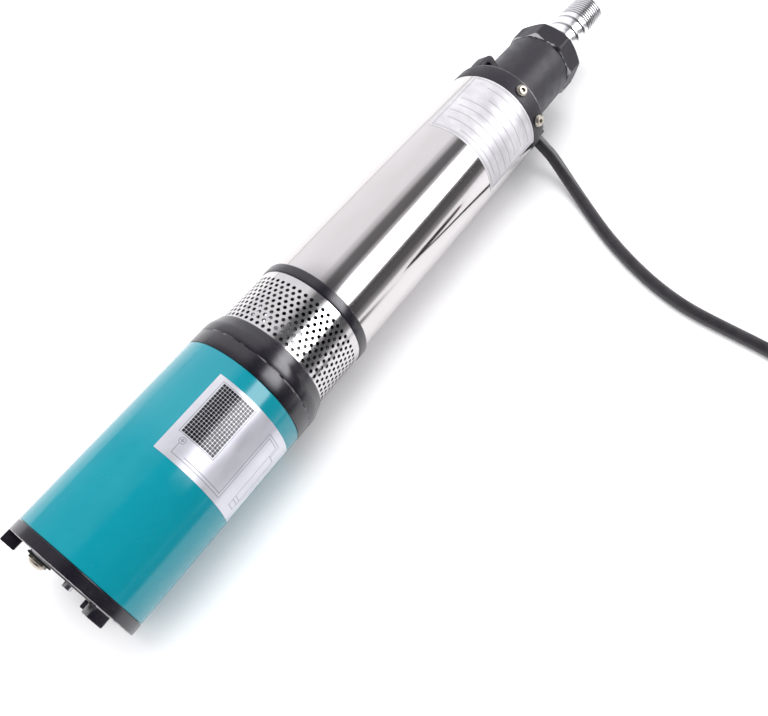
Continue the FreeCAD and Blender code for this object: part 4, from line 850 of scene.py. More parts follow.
@dataclass
class Cable:
    """The cable: out of the head, along the floor and round its put-away coil.

    A ring step says between which angles the winding moves, and from which of the rings to which.
    """

    radius: float = 3.9
    station: float = 388.5
    turn: float = 208.0
    exit_radius: float = 31.0
    way_out: Triple = (27.2, 31.0, 40.0)
    coil_middle: Pair = (8.8, -262.0)
    coil_turns: Pair = (195.0, 2185.0)
    coil_step: float = 15.0
    rings: Triple = (35.2, 43.0, 50.8)
    ring_steps: tuple[tuple[float, float, int, int], ...] = (
        (480, 540, 2, 1), (840, 900, 1, 0), (1500, 1545, 0, 1), (1860, 1905, 1, 2))
    layers: Pair = (4.9, 12.7)
    layer_step: Pair = (1176, 1234)
    length: float = 1.76
    free: tuple[Triple, ...] = (
        (0.0, -42.0, 15.7), (-3.5, -56.0, 8.6), (-12.0, -75.0, 4.4), (-25.0, -98.0, 3.9), (-34.5, -120.0, 3.9),
        (-41.0, -141.0, 3.9), (-44.3, -163.0, 3.9), (-43.2, -186.0, 3.9), (-41.4, -210.0, 3.9), (-42.0, -232.0, 4.2),
        (-42.0, -247.0, 4.7))

    def coil_point(self, turn: float, outward: float) -> Vector:
        """Give a control point of the winding at an angle that counts on through the turns.

        Args:
            turn: the angle in degrees.
            outward: how much farther out than the winding its control points lie.

        Returns:
            The point in metres.
        """
        ring = self.rings[2]
        for start, end, before, after in self.ring_steps:
            if turn >= start:
                ring = self.rings[before] + (self.rings[after] - self.rings[before]) * soft_share(turn, start, end)
        low, high = self.layers
        angle = math.radians(turn)
        x = self.station - MIDDLE + self.coil_middle[0] + ring * outward * math.cos(angle)
        y = self.coil_middle[1] + ring * outward * math.sin(angle)
        return Vector((x, y, low + (high - low) * soft_share(turn, *self.layer_step))) * MM

    def route(self) -> list[Vector]:
        """Lay out the whole cable.

        Returns:
            Its control points in metres.
        """
        points = [row_point(self.station, radius, self.turn) for radius in self.way_out]
        points += [Vector((self.station - MIDDLE + x, y, z)) * MM for x, y, z in self.free]
        first, last = self.coil_turns
        outward = 0.5 + 1 / (1 + math.cos(math.radians(self.coil_step)))
        for index in range(round((last - first) / self.coil_step) + 1):
            points.append(self.coil_point(first + self.coil_step * index, outward))
        return points

    def build(self) -> None:
        data = bpy.data.curves.new("power_cable", "CURVE")
        data.dimensions = "3D"
        data.bevel_depth = self.radius * MM
        data.bevel_resolution = 5
        data.use_fill_caps = True
        data.resolution_u = 8
        spline = data.splines.new("NURBS")
        points = self.route()
        spline.points.add(len(points) - 1)
        for point, place in zip(spline.points, points):
            point.co = (*place, 1.0)
        spline.order_u = 3
        spline.use_endpoint_u = True
        piece = linked("power_cable", data)
        FINISHER.dress(piece, Slot.CABLE_RUBBER)
        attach(piece, Body.HOUSING.value)
        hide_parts("cable", "cable_coil")
        tuple(row_point(self.station, self.exit_radius, self.turn))


# Motor


@dataclass
class MotorSection:
    """The end cap with its feet, the enamelled barrel, the top cover and the intake flange."""

    radius: float = 38.0
    bore: float = 36.0
    spigot: float = 35.88
    cap_face: float = 5.8
    barrel_start: float = 12.2
    barrel_end: float = 128.7
    cover_top: float = 137.9
    flange_edge: float = 143.3
    flange_top: float = 150.9
    strainer_seat: float = 34.7
    insert_radius: float = 33.55
    foot_turns: Triple = (142.0, 22.0, 262.0)
    foot_angle: float = 15.0
    foot_depth: float = 8.4
    plug_seat: Triple = (3.8, 17.9, 27.0)
    pillar_ends: Pair = (144.9, 180.75)
    pillar_radius: float = 3.9
    pillar_circle: float = 28.1
    pillar_turn: float = 28.0

    def foot(self, turn: float) -> Shape:
        """Make one foot as a short sector with rounded edges.

        Args:
            turn: the angle of its middle, in degrees.

        Returns:
            The foot's mesh.
        """
        inner, outer, top = self.radius - self.foot_depth, self.radius - 0.06, self.cap_face + 0.5
        shape = bmesh.new()
        face = shape.faces.new([shape.verts.new(row_point(station, radius, turn - self.foot_angle / 2))
                                for station, radius in ((0.0, inner), (0.0, outer), (top, outer), (top, inner))])
        bmesh.ops.spin(shape, geom=[face], cent=row_point(0, 0, 0), axis=(1, 0, 0),
                       angle=math.radians(self.foot_angle), steps=10, use_duplicate=False)
        bmesh.ops.remove_doubles(shape, verts=shape.verts[:], dist=1e-7)
        bmesh.ops.recalc_face_normals(shape, faces=shape.faces[:])
        rims_rounded(shape, 0.55, 1.0)
        return shape

    def end_cap(self) -> None:
        """Make the end cap with its pad and three feet."""
        face, edge, spigot = self.cap_face, self.barrel_start - 0.1, self.spigot
        shape = turned([
            (face - 0.8, 2.2, 0.2), (face - 0.8, 24.0, 0.35), (face, 24.6, 0.3), (face, self.radius, 0.75),
            (face + 1.1, self.radius, 0.0), (edge - 0.4, self.radius, 0.0), (edge, self.radius, 0.25),
            (edge, spigot, 0.0), (24.2, spigot, 0.5), (24.2, 31.9, 0.4), (12.8, 31.9, 1.2), (12.8, 17.0, 0.6),
            (22.8, 17.0, 0.4), (22.8, 15.05, 0.2), (13.8, 15.05, 0.3), (13.8, 2.2, 0.0)])
        for turn in self.foot_turns:
            added(shape, self.foot(turn))
        finished(shape, "end_cap_with_feet", ["end_cap"], Slot.BLACK_MOULDING)

    def plug(self) -> None:
        """Make the fill plug: a rounded button on a short six-sided foot, with its shank."""
        dome = [(4.4 * math.cos(math.radians(9 * step)), -1.5 - 2.0 * math.sin(math.radians(9 * step)))
                for step in range(1, 10)]
        outline = [(0.03, 5.9), (3.0, 5.9), (3.0, 0.0), (4.75, 0.0), (4.75, -1.2), (4.45, -1.5), *dome, (0.03, -3.5)]
        shape = spun_upright(outline, (), 4.75, (4.6, 100.0), limit=5.35)
        place = Matrix.Translation(row_point(*self.plug_seat)) @ Matrix.Rotation(math.pi / 2, 4, "Y")
        bmesh.ops.transform(shape, matrix=place, verts=shape.verts[:])
        finished(shape, "button_fill_plug", ["fill_plug"], Slot.SCREW_STEEL)

    def barrel(self) -> None:
        """Make the enamelled barrel, with its ends rolled slightly in."""
        start, end = self.barrel_start + 0.1, self.barrel_end - 0.1
        shape = turned([(start, self.bore, 0.2), (start, self.radius, 0.6), (end, self.radius, 0.6),
                        (end, self.bore, 0.2)])
        finished(shape, "enamelled_barrel", ["motor_barrel"], Slot.TEAL_PAINT)

    def cover(self) -> None:
        """Make the top cover, flush with the barrel, with its bearing's seat."""
        start, top, inner = self.barrel_end + 0.02, self.cover_top - 0.05, self.spigot
        shape = turned([
            (116.7, 31.9, 0.3), (116.7, inner, 0.4), (start, inner, 0.0), (start, self.radius, 0.35),
            (top, self.radius, 0.45), (top, 9.0, 0.2), (133.9, 9.0, 0.0), (133.9, 16.05, 0.2), (122.9, 16.05, 0.3),
            (122.9, 20.0, 0.3), (127.7, 20.0, 0.3), (127.7, 31.9, 0.6)])
        finished(shape, "flush_top_cover", ["top_cover"], Slot.BLACK_MOULDING)

    def flange(self) -> None:
        """Make the intake flange with its coned shoulder and the pillars inside the strainer."""
        start, seat, insert = self.cover_top + 0.05, self.strainer_seat, self.insert_radius
        shape = turned([
            (start, 9.0, 0.2), (start, self.radius, 0.45), (self.flange_edge, self.radius, 1.6),
            (self.flange_edge + 3.6, 36.6, 2.5), (self.flange_top, seat + 0.7, 0.5), (self.flange_top, seat, 0.2),
            (145.9, seat, 0.0), (145.9, insert, 0.0), (154.9, insert, 0.4), (154.9, 31.0, 0.3), (145.9, 31.0, 0.6),
            (145.9, 17.0, 0.6), (147.4, 17.0, 0.3), (147.4, 13.05, 0.2), (141.9, 13.05, 0.2), (141.9, 9.0, 0.2)])
        low, high = self.pillar_ends
        for step in range(3):
            pillar = bmesh.new()
            bmesh.ops.create_cone(pillar, cap_ends=True, segments=40, radius1=self.pillar_radius * MM,
                                  radius2=self.pillar_radius * MM, depth=(high - low) * MM)
            place = Matrix.Translation(row_point((high + low) / 2, self.pillar_circle, self.pillar_turn + 120 * step))
            added(shape, pillar, place @ Matrix.Rotation(math.pi / 2, 4, "Y"))
        finished(shape, "coned_intake_flange", ["intake_flange"], Slot.BLACK_MOULDING)

    def build(self) -> None:
        """Make every outer piece of the motor."""
        for make in (self.end_cap, self.plug, self.barrel, self.cover, self.flange):
            make()


# Labels


@dataclass
class Label:
    """A thin label that is wrapped on a barrel, with a flat map of its own in millimetres."""

    name: str
    slot: Slot
    stations: Pair
    turns: Pair
    radius: float
    thickness: float
    foil: Colour
    sheen: Colour

    def material(self) -> Material:
        """Lay out the label's material."""
        raise NotImplementedError

    def size(self) -> Pair:
        """Give the flat label's length along the pump and its width round it."""
        return self.stations[1] - self.stations[0], math.radians(self.turns[1] - self.turns[0]) * self.radius

    def build(self) -> None:
        """Wrap a grid on the barrel and give it its flat map, a thickness and its material."""
        material = self.material()
        shape = bmesh.new()
        bmesh.ops.create_grid(shape, x_segments=24, y_segments=72, size=0.5)
        flat = shape.loops.layers.uv.new("Flat")
        length, width = self.size()
        for face in shape.faces:
            for loop in face.loops:
                loop[flat].uv = ((loop.vert.co.x + 0.5) * length, (loop.vert.co.y + 0.5) * width)
        sweep = self.turns[1] - self.turns[0]
        for point in shape.verts:
            along, across = point.co.x + 0.5, point.co.y + 0.5
            point.co = row_point(self.stations[0] + along * length, self.radius, self.turns[0] + across * sweep)
        faced_out(shape)
        bmesh.ops.solidify(shape, geom=shape.faces[:], thickness=-self.thickness * MM)
        bmesh.ops.recalc_face_normals(shape, faces=shape.faces[:])
        piece = finished(shape, self.name)
        piece.data.materials.append(material)


@dataclass
class MotorSticker(Label):
    """The silver sticker on the motor, with its field of cells and its thin lines, left without words.

    Its pattern is laid out by the station and the angle from -Y towards +Z. The circle has a radius too, and a line
    has the station and the angle of each end.
    """

    name: str = "motor_sticker"
    slot: Slot = Slot.TEAL_PAINT
    stations: Pair = (72.3, 119.0)
    turns: Pair = (90.0, 186.0)
    radius: float = 38.04
    thickness: float = 0.12
    foil: Colour = (0.55, 0.55, 0.61)
    sheen: Colour = (0.67, 0.67, 0.72)
    ink: Colour = (0.006, 0.006, 0.009)
    line_ink: Colour = (0.10, 0.10, 0.12)
    field_stations: Pair = (85.9, 116.3)
    field_angles: Pair = (53.0, 82.8)
    cells: tuple[int, int] = (18, 12)
    circle: Triple = (82.6, 77.2, 1.65)
    bar: float = 0.8
    lines: tuple[tuple[float, float, float, float], ...] = (
        (75.4, 78.0, 75.4, 28.0), (75.4, 78.0, 80.9, 78.0), (75.4, 28.0, 113.0, 28.0), (113.0, 28.0, 113.0, 14.6),
        (113.0, 14.6, 80.7, 14.6), (77.1, 68.0, 77.1, 30.6), (77.1, 30.6, 114.5, 30.6), (114.5, 30.6, 114.5, 12.4),
        (114.5, 12.4, 108.0, 12.4), (80.7, 14.6, 80.7, 4.8), (80.7, 4.8, 108.0, 4.8), (108.0, 14.6, 108.0, 4.8),
        (77.5, 14.2, 77.5, 5.4), (77.5, 14.2, 80.7, 14.2), (77.5, 5.4, 80.7, 5.4), (82.7, 14.6, 82.7, 4.8),
        (85.4, 84.1, 116.8, 84.1), (85.4, 84.1, 85.4, 52.0), (85.4, 52.0, 116.8, 52.0), (116.8, 84.1, 116.8, 52.0))

    def flat_turn(self, angle: float) -> float:
        """Turn an angle from -Y into the flat distance from the sticker's first edge."""
        return math.radians(90.0 - angle) * self.radius

    def rectangle(self, shader: Shader, first: Pair, second: Pair, softness: float = 0.12) -> Signal:
        """Place a rectangle given by two corners, each a station and an angle.

        Args:
            shader: the sticker's shader.
            first: one corner.
            second: the corner across from it.
            softness: the width of its soft edge, in millimetres.

        Returns:
            The mask.
        """
        left, right = sorted((first[0] - self.stations[0], second[0] - self.stations[0]))
        low, high = sorted((self.flat_turn(first[1]), self.flat_turn(second[1])))
        return shader.effect("rectangle", shader.flat, left=left, right=right, low=low, high=high,
                             softness=softness)

    def line(self, shader: Shader, ends: Sequence[float], width: float = 0.26) -> Signal:
        """Place a straight thin line.

        Args:
            shader: the sticker's shader.
            ends: station and angle of its first end, then of its second.
            width: its width in millimetres.

        Returns:
            The mask.
        """
        half = width / 2
        angle = math.degrees(half / self.radius)
        low = (min(ends[0::2]) - half, min(ends[1::2]) - angle)
        high = (max(ends[0::2]) + half, max(ends[1::2]) + angle)
        return self.rectangle(shader, low, high)

    def drawing(self, shader: Shader) -> Signal:
        """Lay out the thin lines and the circle with its plus.

        Args:
            shader: the sticker's shader.

        Returns:
            The mask.
        """
        masks = [self.line(shader, ends) for ends in self.lines]
        station, angle, radius = self.circle
        ring = shader.mapped(shader.flat, (1.0, 1.0, 1.0), (self.stations[0] - station, -self.flat_turn(angle), 0.0))
        away = laid(shader.tree, "VectorMath", "Value", {0: ring}, operation="LENGTH")
        masks.append(1.0 - abs(away - radius).step(0.10, 0.24))
        tall = math.degrees(self.bar / self.radius)
        masks.append(self.line(shader, (station - self.bar, angle, station + self.bar, angle), 0.42))
        masks.append(self.line(shader, (station, angle - tall, station, angle + tall), 0.42))
        drawn = masks[0]
        for mask in masks[1:]:
            drawn = drawn.larger(mask)
        return drawn

    def material(self) -> Material:
        """Lay out the foil, the cells and the lines.

        Returns:
            The material.
        """
        shader = Shader("Silver sticker")
        clouds = shader.effect("grain", shader.mapped(shader.flat, (0.03, 0.05, 1.0)), scale=0.9, fineness=3.0)
        (left, right), (near, far) = self.field_stations, self.field_angles
        scale = (self.cells[0] / (right - left), self.cells[1] / (self.flat_turn(near) - self.flat_turn(far)), 1.0)
        offset = ((self.stations[0] - left) * scale[0], -self.flat_turn(far) * scale[1], 0.0)
        cells = shader.effect("cells", shader.mapped(shader.flat, scale, offset), gap=0.045, rounding=0.20)
        cells = cells * self.rectangle(shader, (left, near), (right, far), 0.02)
        drawn = self.drawing(shader)
        # The foil's cloudy lighter patches, in the sheen colour, are painted sheen.
        lined = shader.mixed(drawn * 0.75, shader.mixed(clouds, self.foil, self.sheen), self.line_ink)
        shader.put("Base Color", shader.mixed(cells, lined, self.ink))
        shader.put("Metallic", (1.0 - drawn.larger(cells)) * 0.55)
        shader.put("Roughness", clouds.between(0.28, 0.38) * (1.0 - cells * 0.62))
        shader.put("Coat Weight", 0.12)
        shader.put("Coat Roughness", 0.12)
        shader.bumped(clouds, 0.000004)
        return shader.material


@dataclass
class BarrelLabel(Label):
    """The foil label round the end of the steel barrel, ruled like a blank form.

    A border has an inset and a width. A rule has a station and the angles of its ends from -Y towards +Z.
    """

    name: str = "barrel_foil_label"
    slot: Slot = Slot.POLISHED_STEEL
    stations: Pair = (318.6, 368.2)
    turns: Pair = (65.0, 172.0)
    radius: float = 33.53
    thickness: float = 0.08
    foil: Colour = (0.52, 0.51, 0.54)
    sheen: Colour = (0.66, 0.65, 0.68)
    ink: Colour = (0.12, 0.12, 0.13)
    borders: tuple[Pair, ...] = ((1.3, 0.34), (2.3, 0.18))
    rules: tuple[Triple, ...] = (
        (323.5, 22.0, 83.0), (328.7, 14.0, 104.0), (335.0, 14.0, 108.0), (340.6, 16.0, 104.0), (346.4, 18.0, 108.0),
        (353.2, 20.0, 82.0), (361.2, 16.0, 92.0))

    def frame(self, shader: Shader, inset: float) -> Signal:
        """Place a rectangle that is inset from the label's edges.

        Args:
            shader: the label's shader.
            inset: the distance from each edge, in millimetres.

        Returns:
            The mask.
        """
        length, width = self.size()
        return shader.effect("rectangle", shader.flat, left=inset, right=length - inset, low=inset,
                             high=width - inset, softness=0.08)

    def material(self) -> Material:
        """Lay out the foil with a double border and ruled lines.

        Returns:
            The material.
        """
        shader = Shader("Foil label")
        flat = shader.flat
        clouds = shader.effect("grain", shader.mapped(flat, (0.06, 0.03, 1.0)), scale=1.1, fineness=4.0)
        outer, inner = (self.frame(shader, inset).math("SUBTRACT", self.frame(shader, inset + line), clamp=True)
                        for inset, line in self.borders)
        ink = outer.larger(inner)
        for station, low, high in self.rules:
            place = station - self.stations[0]
            first, last = (math.radians(180.0 - self.turns[0] - angle) * self.radius for angle in (high, low))
            rule = shader.effect("rectangle", flat, left=place, right=place + 0.5, low=first, high=last, softness=0.12)
            ink = ink.larger(rule * 0.6)
        # The foil's cloudy lighter patches, in the sheen colour, are painted sheen.
        shader.put("Base Color", shader.mixed(ink * 0.8, shader.mixed(clouds, self.foil, self.sheen), self.ink))
        shader.put("Metallic", (1.0 - ink * 0.7) * 0.3)
        shader.put("Roughness", clouds.between(0.36, 0.50))
        shader.put("Specular IOR Level", 0.3)
        crinkle = shader.effect("grain", shader.mapped(flat, (0.5, 0.5, 1.0)), scale=1.6, fineness=4.0)
        shader.bumped(crinkle, 0.00003)
        return shader.material


# Intake


@dataclass
class IntakeSection:
    """The perforated strainer and the ring between it and the steel barrel."""

    radius: float = 34.5
    wall: float = 0.8
    start: float = 145.9
    end: float = 185.8
    columns: int = 56
    rows: int = 10
    row_pitch: float = 3.03
    first_row: float = 153.15
    first_turn: float = 176.0
    hole_radius: float = 1.08
    ring_radius: float = 35.0
    ring_end: float = 192.25

    def cell(self, pitch: float) -> Shape:
        """Make one flat cell of the sheet with its round hole, in millimetres.

        Args:
            pitch: the cell's width round the strainer.

        Returns:
            The cell's mesh.
        """
        shape = bmesh.new()
        bmesh.ops.create_grid(shape, x_segments=4, y_segments=4, size=0.5)
        inner = [edge for edge in shape.edges if len(edge.link_faces) > 1]
        bmesh.ops.delete(shape, geom=shape.faces[:], context="FACES_ONLY")
        bmesh.ops.delete(shape, geom=inner, context="EDGES")
        loose = [point for point in shape.verts if not point.link_edges]
        bmesh.ops.delete(shape, geom=loose, context="VERTS")
        bmesh.ops.scale(shape, vec=(self.row_pitch, pitch, 1.0), verts=shape.verts[:])
        outer = shape.edges[:]
        hole = bmesh.ops.create_circle(shape, cap_ends=False, segments=16, radius=self.hole_radius)
        hole_edges = {edge for point in hole["verts"] for edge in point.link_edges}
        bmesh.ops.bridge_loops(shape, edges=[edge for edge in shape.edges if edge in hole_edges] + outer)
        return shape

    def strainer(self) -> None:
        """Lay out the cells in staggered rows, add the plain bands, wrap the sheet and give it its wall."""
        pitch = 2 * math.pi * self.radius / self.columns
        sheet = bmesh.new()
        cell = meshed(self.cell(pitch), "strainer_cell")
        for column in range(self.columns):
            for row in range(self.rows):
                before = len(sheet.verts)
                sheet.from_mesh(cell)
                sheet.verts.ensure_lookup_table()
                bmesh.ops.translate(sheet, verts=sheet.verts[before:],
                                    vec=(row * self.row_pitch, (column + 0.5 * (row % 2)) * pitch, 0.0))
        bpy.data.meshes.remove(cell)
        bmesh.ops.remove_doubles(sheet, verts=sheet.verts[:], dist=0.002)
        for side, reach in ((-0.5, self.start), (self.rows - 0.5, self.end)):
            rim = [edge for edge in sheet.edges if len(edge.link_faces) == 1
                   and all(abs(point.co.x - side * self.row_pitch) < 0.01 for point in edge.verts)]
            for item in bmesh.ops.extrude_edge_only(sheet, edges=rim)["geom"]:
                if isinstance(item, bmesh.types.BMVert):
                    item.co.x = reach - self.first_row
        turn_step = 360 / (pitch * self.columns)
        for point in sheet.verts:
            point.co = row_point(self.first_row + point.co.x, self.radius, self.first_turn - point.co.y * turn_step)
        bmesh.ops.remove_doubles(sheet, verts=sheet.verts[:], dist=2e-6)
        faced_out(sheet)
        bmesh.ops.solidify(sheet, geom=sheet.faces[:], thickness=self.wall * MM)
        finished(sheet, "perforated_strainer", ["strainer"], Slot.STRAINER_STEEL)

    def barrel_ring(self) -> None:
        """Make the black ring that carries the steel barrel."""
        end, radius = self.ring_end, self.ring_radius
        shape = turned([
            (180.8, 21.0, 0.3), (180.8, 33.55, 0.3), (185.85, 33.55, 0.0), (185.85, radius, 0.7), (end, radius, 0.8),
            (end, 32.15, 0.0), (204.3, 32.15, 0.5), (204.3, 24.05, 0.3), (194.3, 24.05, 0.0), (194.3, 21.0, 0.3)])
        finished(shape, "strainer_end_ring", ["barrel_ring"], Slot.BLACK_MOULDING)

    def build(self) -> None:
        """Make the strainer and its end ring."""
        self.strainer()
        self.barrel_ring()


@dataclass
class PumpBarrel:
    """The polished tube round the screw and its stator."""

    radius: float = 33.5
    bore: float = 32.3
    start: float = 192.35
    end: float = 368.45

    def build(self) -> None:
        """Make the tube with its edges eased."""
        shape = turned([(self.start, self.bore, 0.2), (self.start, self.radius, 0.3), (self.end, self.radius, 0.3),
                        (self.end, self.bore, 0.2)])
        finished(shape, "polished_barrel", ["pump_barrel"], Slot.POLISHED_STEEL)


# Head and outlet


@dataclass
class DischargeHead:
    """The head with its rope lug and screws, the outlet nut and the plated hose tail.

    A place is a station, a radius and a turn. The lug's run is its reach towards the feet and towards the outlet;
    its rise and its power are those of its inner and its outer side.
    """

    start: float = 368.55
    skirt_end: float = 380.9
    skirt_radius: float = 33.4
    ledge: float = 383.4
    neck_end: float = 429.3
    neck_radius: float = 23.25
    lug_place: Triple = (388.7, 26.4, 45.0)
    lug_width: float = 9.6
    lug_hole: float = 2.4
    lug_run: Pair = (8.8, 7.4)
    lug_rise: Pair = (6.2, 5.6)
    lug_power: Pair = (9.0, 3.4)
    boss_place: Triple = (388.5, 24.1, 208.0)
    boss_size: Triple = (8.7, 8.3, 9.8)
    screw_station: float = 375.2
    screw_turns: tuple[float, ...] = (116.3, 154.3, 296.3, 334.3)
    nut_end: float = 445.9
    nut_flats: float = 45.0
    nut_turn: float = 28.0
    nut_sides: int = 8
    nut_chamfers: Pair = (1.6, 3.2)
    nut_drop: float = 2.6
    barb_start: float = 454.8
    barb_pitch: float = 8.6
    ridge_start: float = 477.0
    ridge_pitch: float = 2.25
    ridge_fall: float = 0.12
    spring_ends: Pair = (410.7, 425.2)
    spring_foot: float = 426.2
    spring_radius: float = 6.0
    spring_wire: float = 0.7

    def lug(self) -> Shape:
        """Make the rope lug: a rounded plate with a hole, square to the axis of its hole.

        Returns:
            The lug's mesh.
        """
        shape = bmesh.new()
        bmesh.ops.create_circle(shape, cap_ends=False, segments=48, radius=self.lug_hole * MM)
        outline = bmesh.ops.create_circle(shape, cap_ends=False, segments=48, radius=5.0 * MM)
        for point in outline["verts"]:
            angle = math.atan2(point.co.y, point.co.x)
            along, out = math.cos(angle), math.sin(angle)
            wide, tall, power = self.lug_run[along >= 0], self.lug_rise[out > 0], self.lug_power[out > 0]
            reach = 1 / ((abs(along) / wide) ** power + (abs(out) / tall) ** power) ** (1 / power)
            point.co = Vector((along * reach, out * reach, 0)) * MM
        bmesh.ops.bridge_loops(shape, edges=shape.edges[:])
        bmesh.ops.solidify(shape, geom=shape.faces[:], thickness=self.lug_width * MM)
        bmesh.ops.recalc_face_normals(shape, faces=shape.faces[:])
        heights = [point.co.z for point in shape.verts]
        bmesh.ops.translate(shape, verts=shape.verts[:], vec=(0, 0, -(min(heights) + max(heights)) / 2))
        rims_rounded(shape, 0.8, 1.2)
        upright = outward_frame(*self.lug_place) @ Matrix.Rotation(math.pi / 2, 4, "X")
        bmesh.ops.transform(shape, matrix=upright, verts=shape.verts[:])
        return shape

    def head(self) -> None:
        """Make the head: skirt, ledge and neck, with the lug and the cable's boss."""
        shape = turned([
            (self.start, 31.15, 0.2), (self.start, self.skirt_radius, 0.7), (self.skirt_end, 33.0, 0.9),
            (self.ledge - 0.8, 31.8, 0.6), (self.ledge, 26.5, 0.5), (self.ledge + 3.5, 26.2, 0.9),
            (self.ledge + 4.4, self.neck_radius, 0.6), (self.neck_end, 22.7, 0.7), (self.neck_end, 19.0, 0.2),
            (438.3, 19.0, 0.5), (438.3, 14.2, 0.2), (404.2, 14.2, 0.2), (404.2, 11.0, 0.2), (398.2, 11.0, 0.5),
            (378.35, 20.0, 0.5), (378.35, 31.15, 0.3)])
        added(shape, self.lug())
        boss = bmesh.new()
        foot, top, depth = (size * MM for size in self.boss_size)
        bmesh.ops.create_cone(boss, cap_ends=True, segments=64, radius1=foot, radius2=top, depth=depth)
        rims_rounded(boss, 0.6, 1.2)
        added(shape, boss, outward_frame(*self.boss_place))
        finished(shape, "ledged_head_with_lug", ["discharge_head"], Slot.BLACK_MOULDING, CAST_MOULDING)

    def screws(self) -> None:
        """Set the four button-headed screws with their hexagonal sockets in the skirt."""
        outline = [(0.03, 0.95), (1.44, 0.95), (1.44, 2.12), (1.75, 2.25), (2.5, 2.18), (3.15, 1.85), (3.6, 1.1),
                   (3.75, 0.3), (3.75, 0.0), (1.95, 0.0), (1.95, -6.9), (0.03, -6.9)]
        shape = bmesh.new()
        for step, turn in enumerate(self.screw_turns):
            screw = spun_upright(outline, [(0.12, (2, 7, 8))], 1.25, (1.0, 1.5), floor=0.5)
            spin = Matrix.Rotation(math.radians(17 + 23 * step), 4, "Z")
            added(shape, screw, outward_frame(self.screw_station, self.skirt_radius - 0.04, turn) @ spin)
        finished(shape, "button_head_screws", ["head_screws"], Slot.SCREW_STEEL)

    def nut(self) -> None:
        """Make the eight-sided nut with its chamfered ends: turned, then pulled in to its flats."""
        start, end, half, step = self.neck_end + 0.1, self.nut_end, self.nut_flats / 2, 360 / self.nut_sides
        ease, chamfer = self.nut_chamfers
        corner = half / math.cos(math.radians(step / 2)) + 0.1
        rise = corner - half
        front = [(start + ease / 8 * index, half - 0.2 + (rise + 0.2) * index / 8, 0.0) for index in range(9)]
        flats = [(start + ease + (end - chamfer - start - ease) * index / 6, corner, 0.0) for index in range(1, 6)]
        back = [(end - chamfer + chamfer / 10 * index, corner - (rise + self.nut_drop) * (index / 10), 0.0)
                for index in range(11)]
        shape = turned([(start, 19.1, 0.2), *front, *flats, *back, (end, 13.25, 0.4), (442.5, 13.25, 0.0),
                        (442.5, 19.1, 0.3)], self.nut_turn)
        for point in shape.verts:
            across, up = point.co.y / MM, point.co.z / MM - AXIS_HEIGHT
            radius = math.hypot(across, up)
            away = (math.degrees(math.atan2(up, across)) - self.nut_turn) % step - step / 2
            reach = min(corner - 0.22, half / math.cos(math.radians(away)))
            if radius > reach and radius >= half - 3.0:
                point.co.y *= reach / radius
                point.co.z = (AXIS_HEIGHT + up * reach / radius) * MM
        bmesh.ops.recalc_face_normals(shape, faces=shape.faces[:])
        finished(shape, "outlet_flats_nut", ["outlet_nut"], Slot.BLACK_MOULDING, CAST_MOULDING)

    def tail(self) -> None:
        """Make the plated hose tail with its collar, three barbs and nine ridges."""
        corners: list[Corner] = [
            (439.5, 8.5, 0.2), (439.5, 18.0, 0.3), (442.4, 18.0, 0.3), (442.4, 13.0, 0.0), (447.2, 13.0, 0.3),
            (448.4, 12.2, 0.4)]
        for step in range(3):
            base = self.barb_start + self.barb_pitch * step
            corners += [(base - 1.2, 12.1, 0.5), (base, 13.0, 0.3), (base + 1.6, 12.75, 0.4), (base + 2.6, 12.1, 0.5)]
        for step in range(9):
            base, crest = self.ridge_start + self.ridge_pitch * step, 12.9 - self.ridge_fall * step
            corners += [(base, crest - 0.75, 0.15), (base + 0.7, crest, 0.2), (base + 1.3, crest, 0.2),
                        (base + 1.9, crest - 0.75, 0.15)]
        corners += [(497.5, 10.6, 0.3), (498.0, 9.9, 0.25), (498.0, 8.5, 0.2)]
        finished(turned(corners, segments=2), "ridged_hose_tail", ["hose_tail"], Slot.CHROME)

    def spring(self) -> None:
        """Wind the valve's spring as a fixed helix; it is not made to shorten as the valve lifts."""
        shape = bmesh.new()
        low, high = self.spring_ends
        turns, steps = 5, 36
        bmesh.ops.create_circle(shape, cap_ends=True, segments=10, radius=self.spring_wire * MM)
        bmesh.ops.translate(shape, vec=row_point(low, self.spring_radius, 0), verts=shape.verts[:])
        bmesh.ops.spin(shape, geom=shape.faces[:], cent=row_point(0, 0, 0), axis=(1, 0, 0),
                       dvec=((high - low) * MM / (turns * steps), 0, 0), angle=2 * math.pi * turns,
                       steps=turns * steps, use_duplicate=False)
        bmesh.ops.recalc_face_normals(shape, faces=shape.faces[:])
        piece = finished(shape, "valve_return_spring", ["valve_spring"], Slot.SCREW_STEEL)
        tuple(row_point(self.spring_foot, 0, 0))
        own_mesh(piece)

    def build(self) -> None:
        """Make the head, its screws, the nut, the tail and the spring."""
        for make in (self.head, self.screws, self.nut, self.tail, self.spring):
            make()


# Studio


@dataclass(frozen=True)
class Panel:
    """A soft light panel that shines on the floor and isn't seen in the metal."""

    name: str
    place: Triple
    size: float
    power: float

    def build(self) -> None:
        """Hang the panel so that it faces the pump."""
        data = bpy.data.lights.new(self.name, "AREA")
        data.shape = "SQUARE"
        data.size = self.size
        data.energy = self.power
        light = linked(self.name, data)
        light.location = self.place
        light.rotation_mode = "QUATERNION"
        light.rotation_quaternion = Vector(self.place).to_track_quat("Z", "Y")
        light.visible_glossy = False


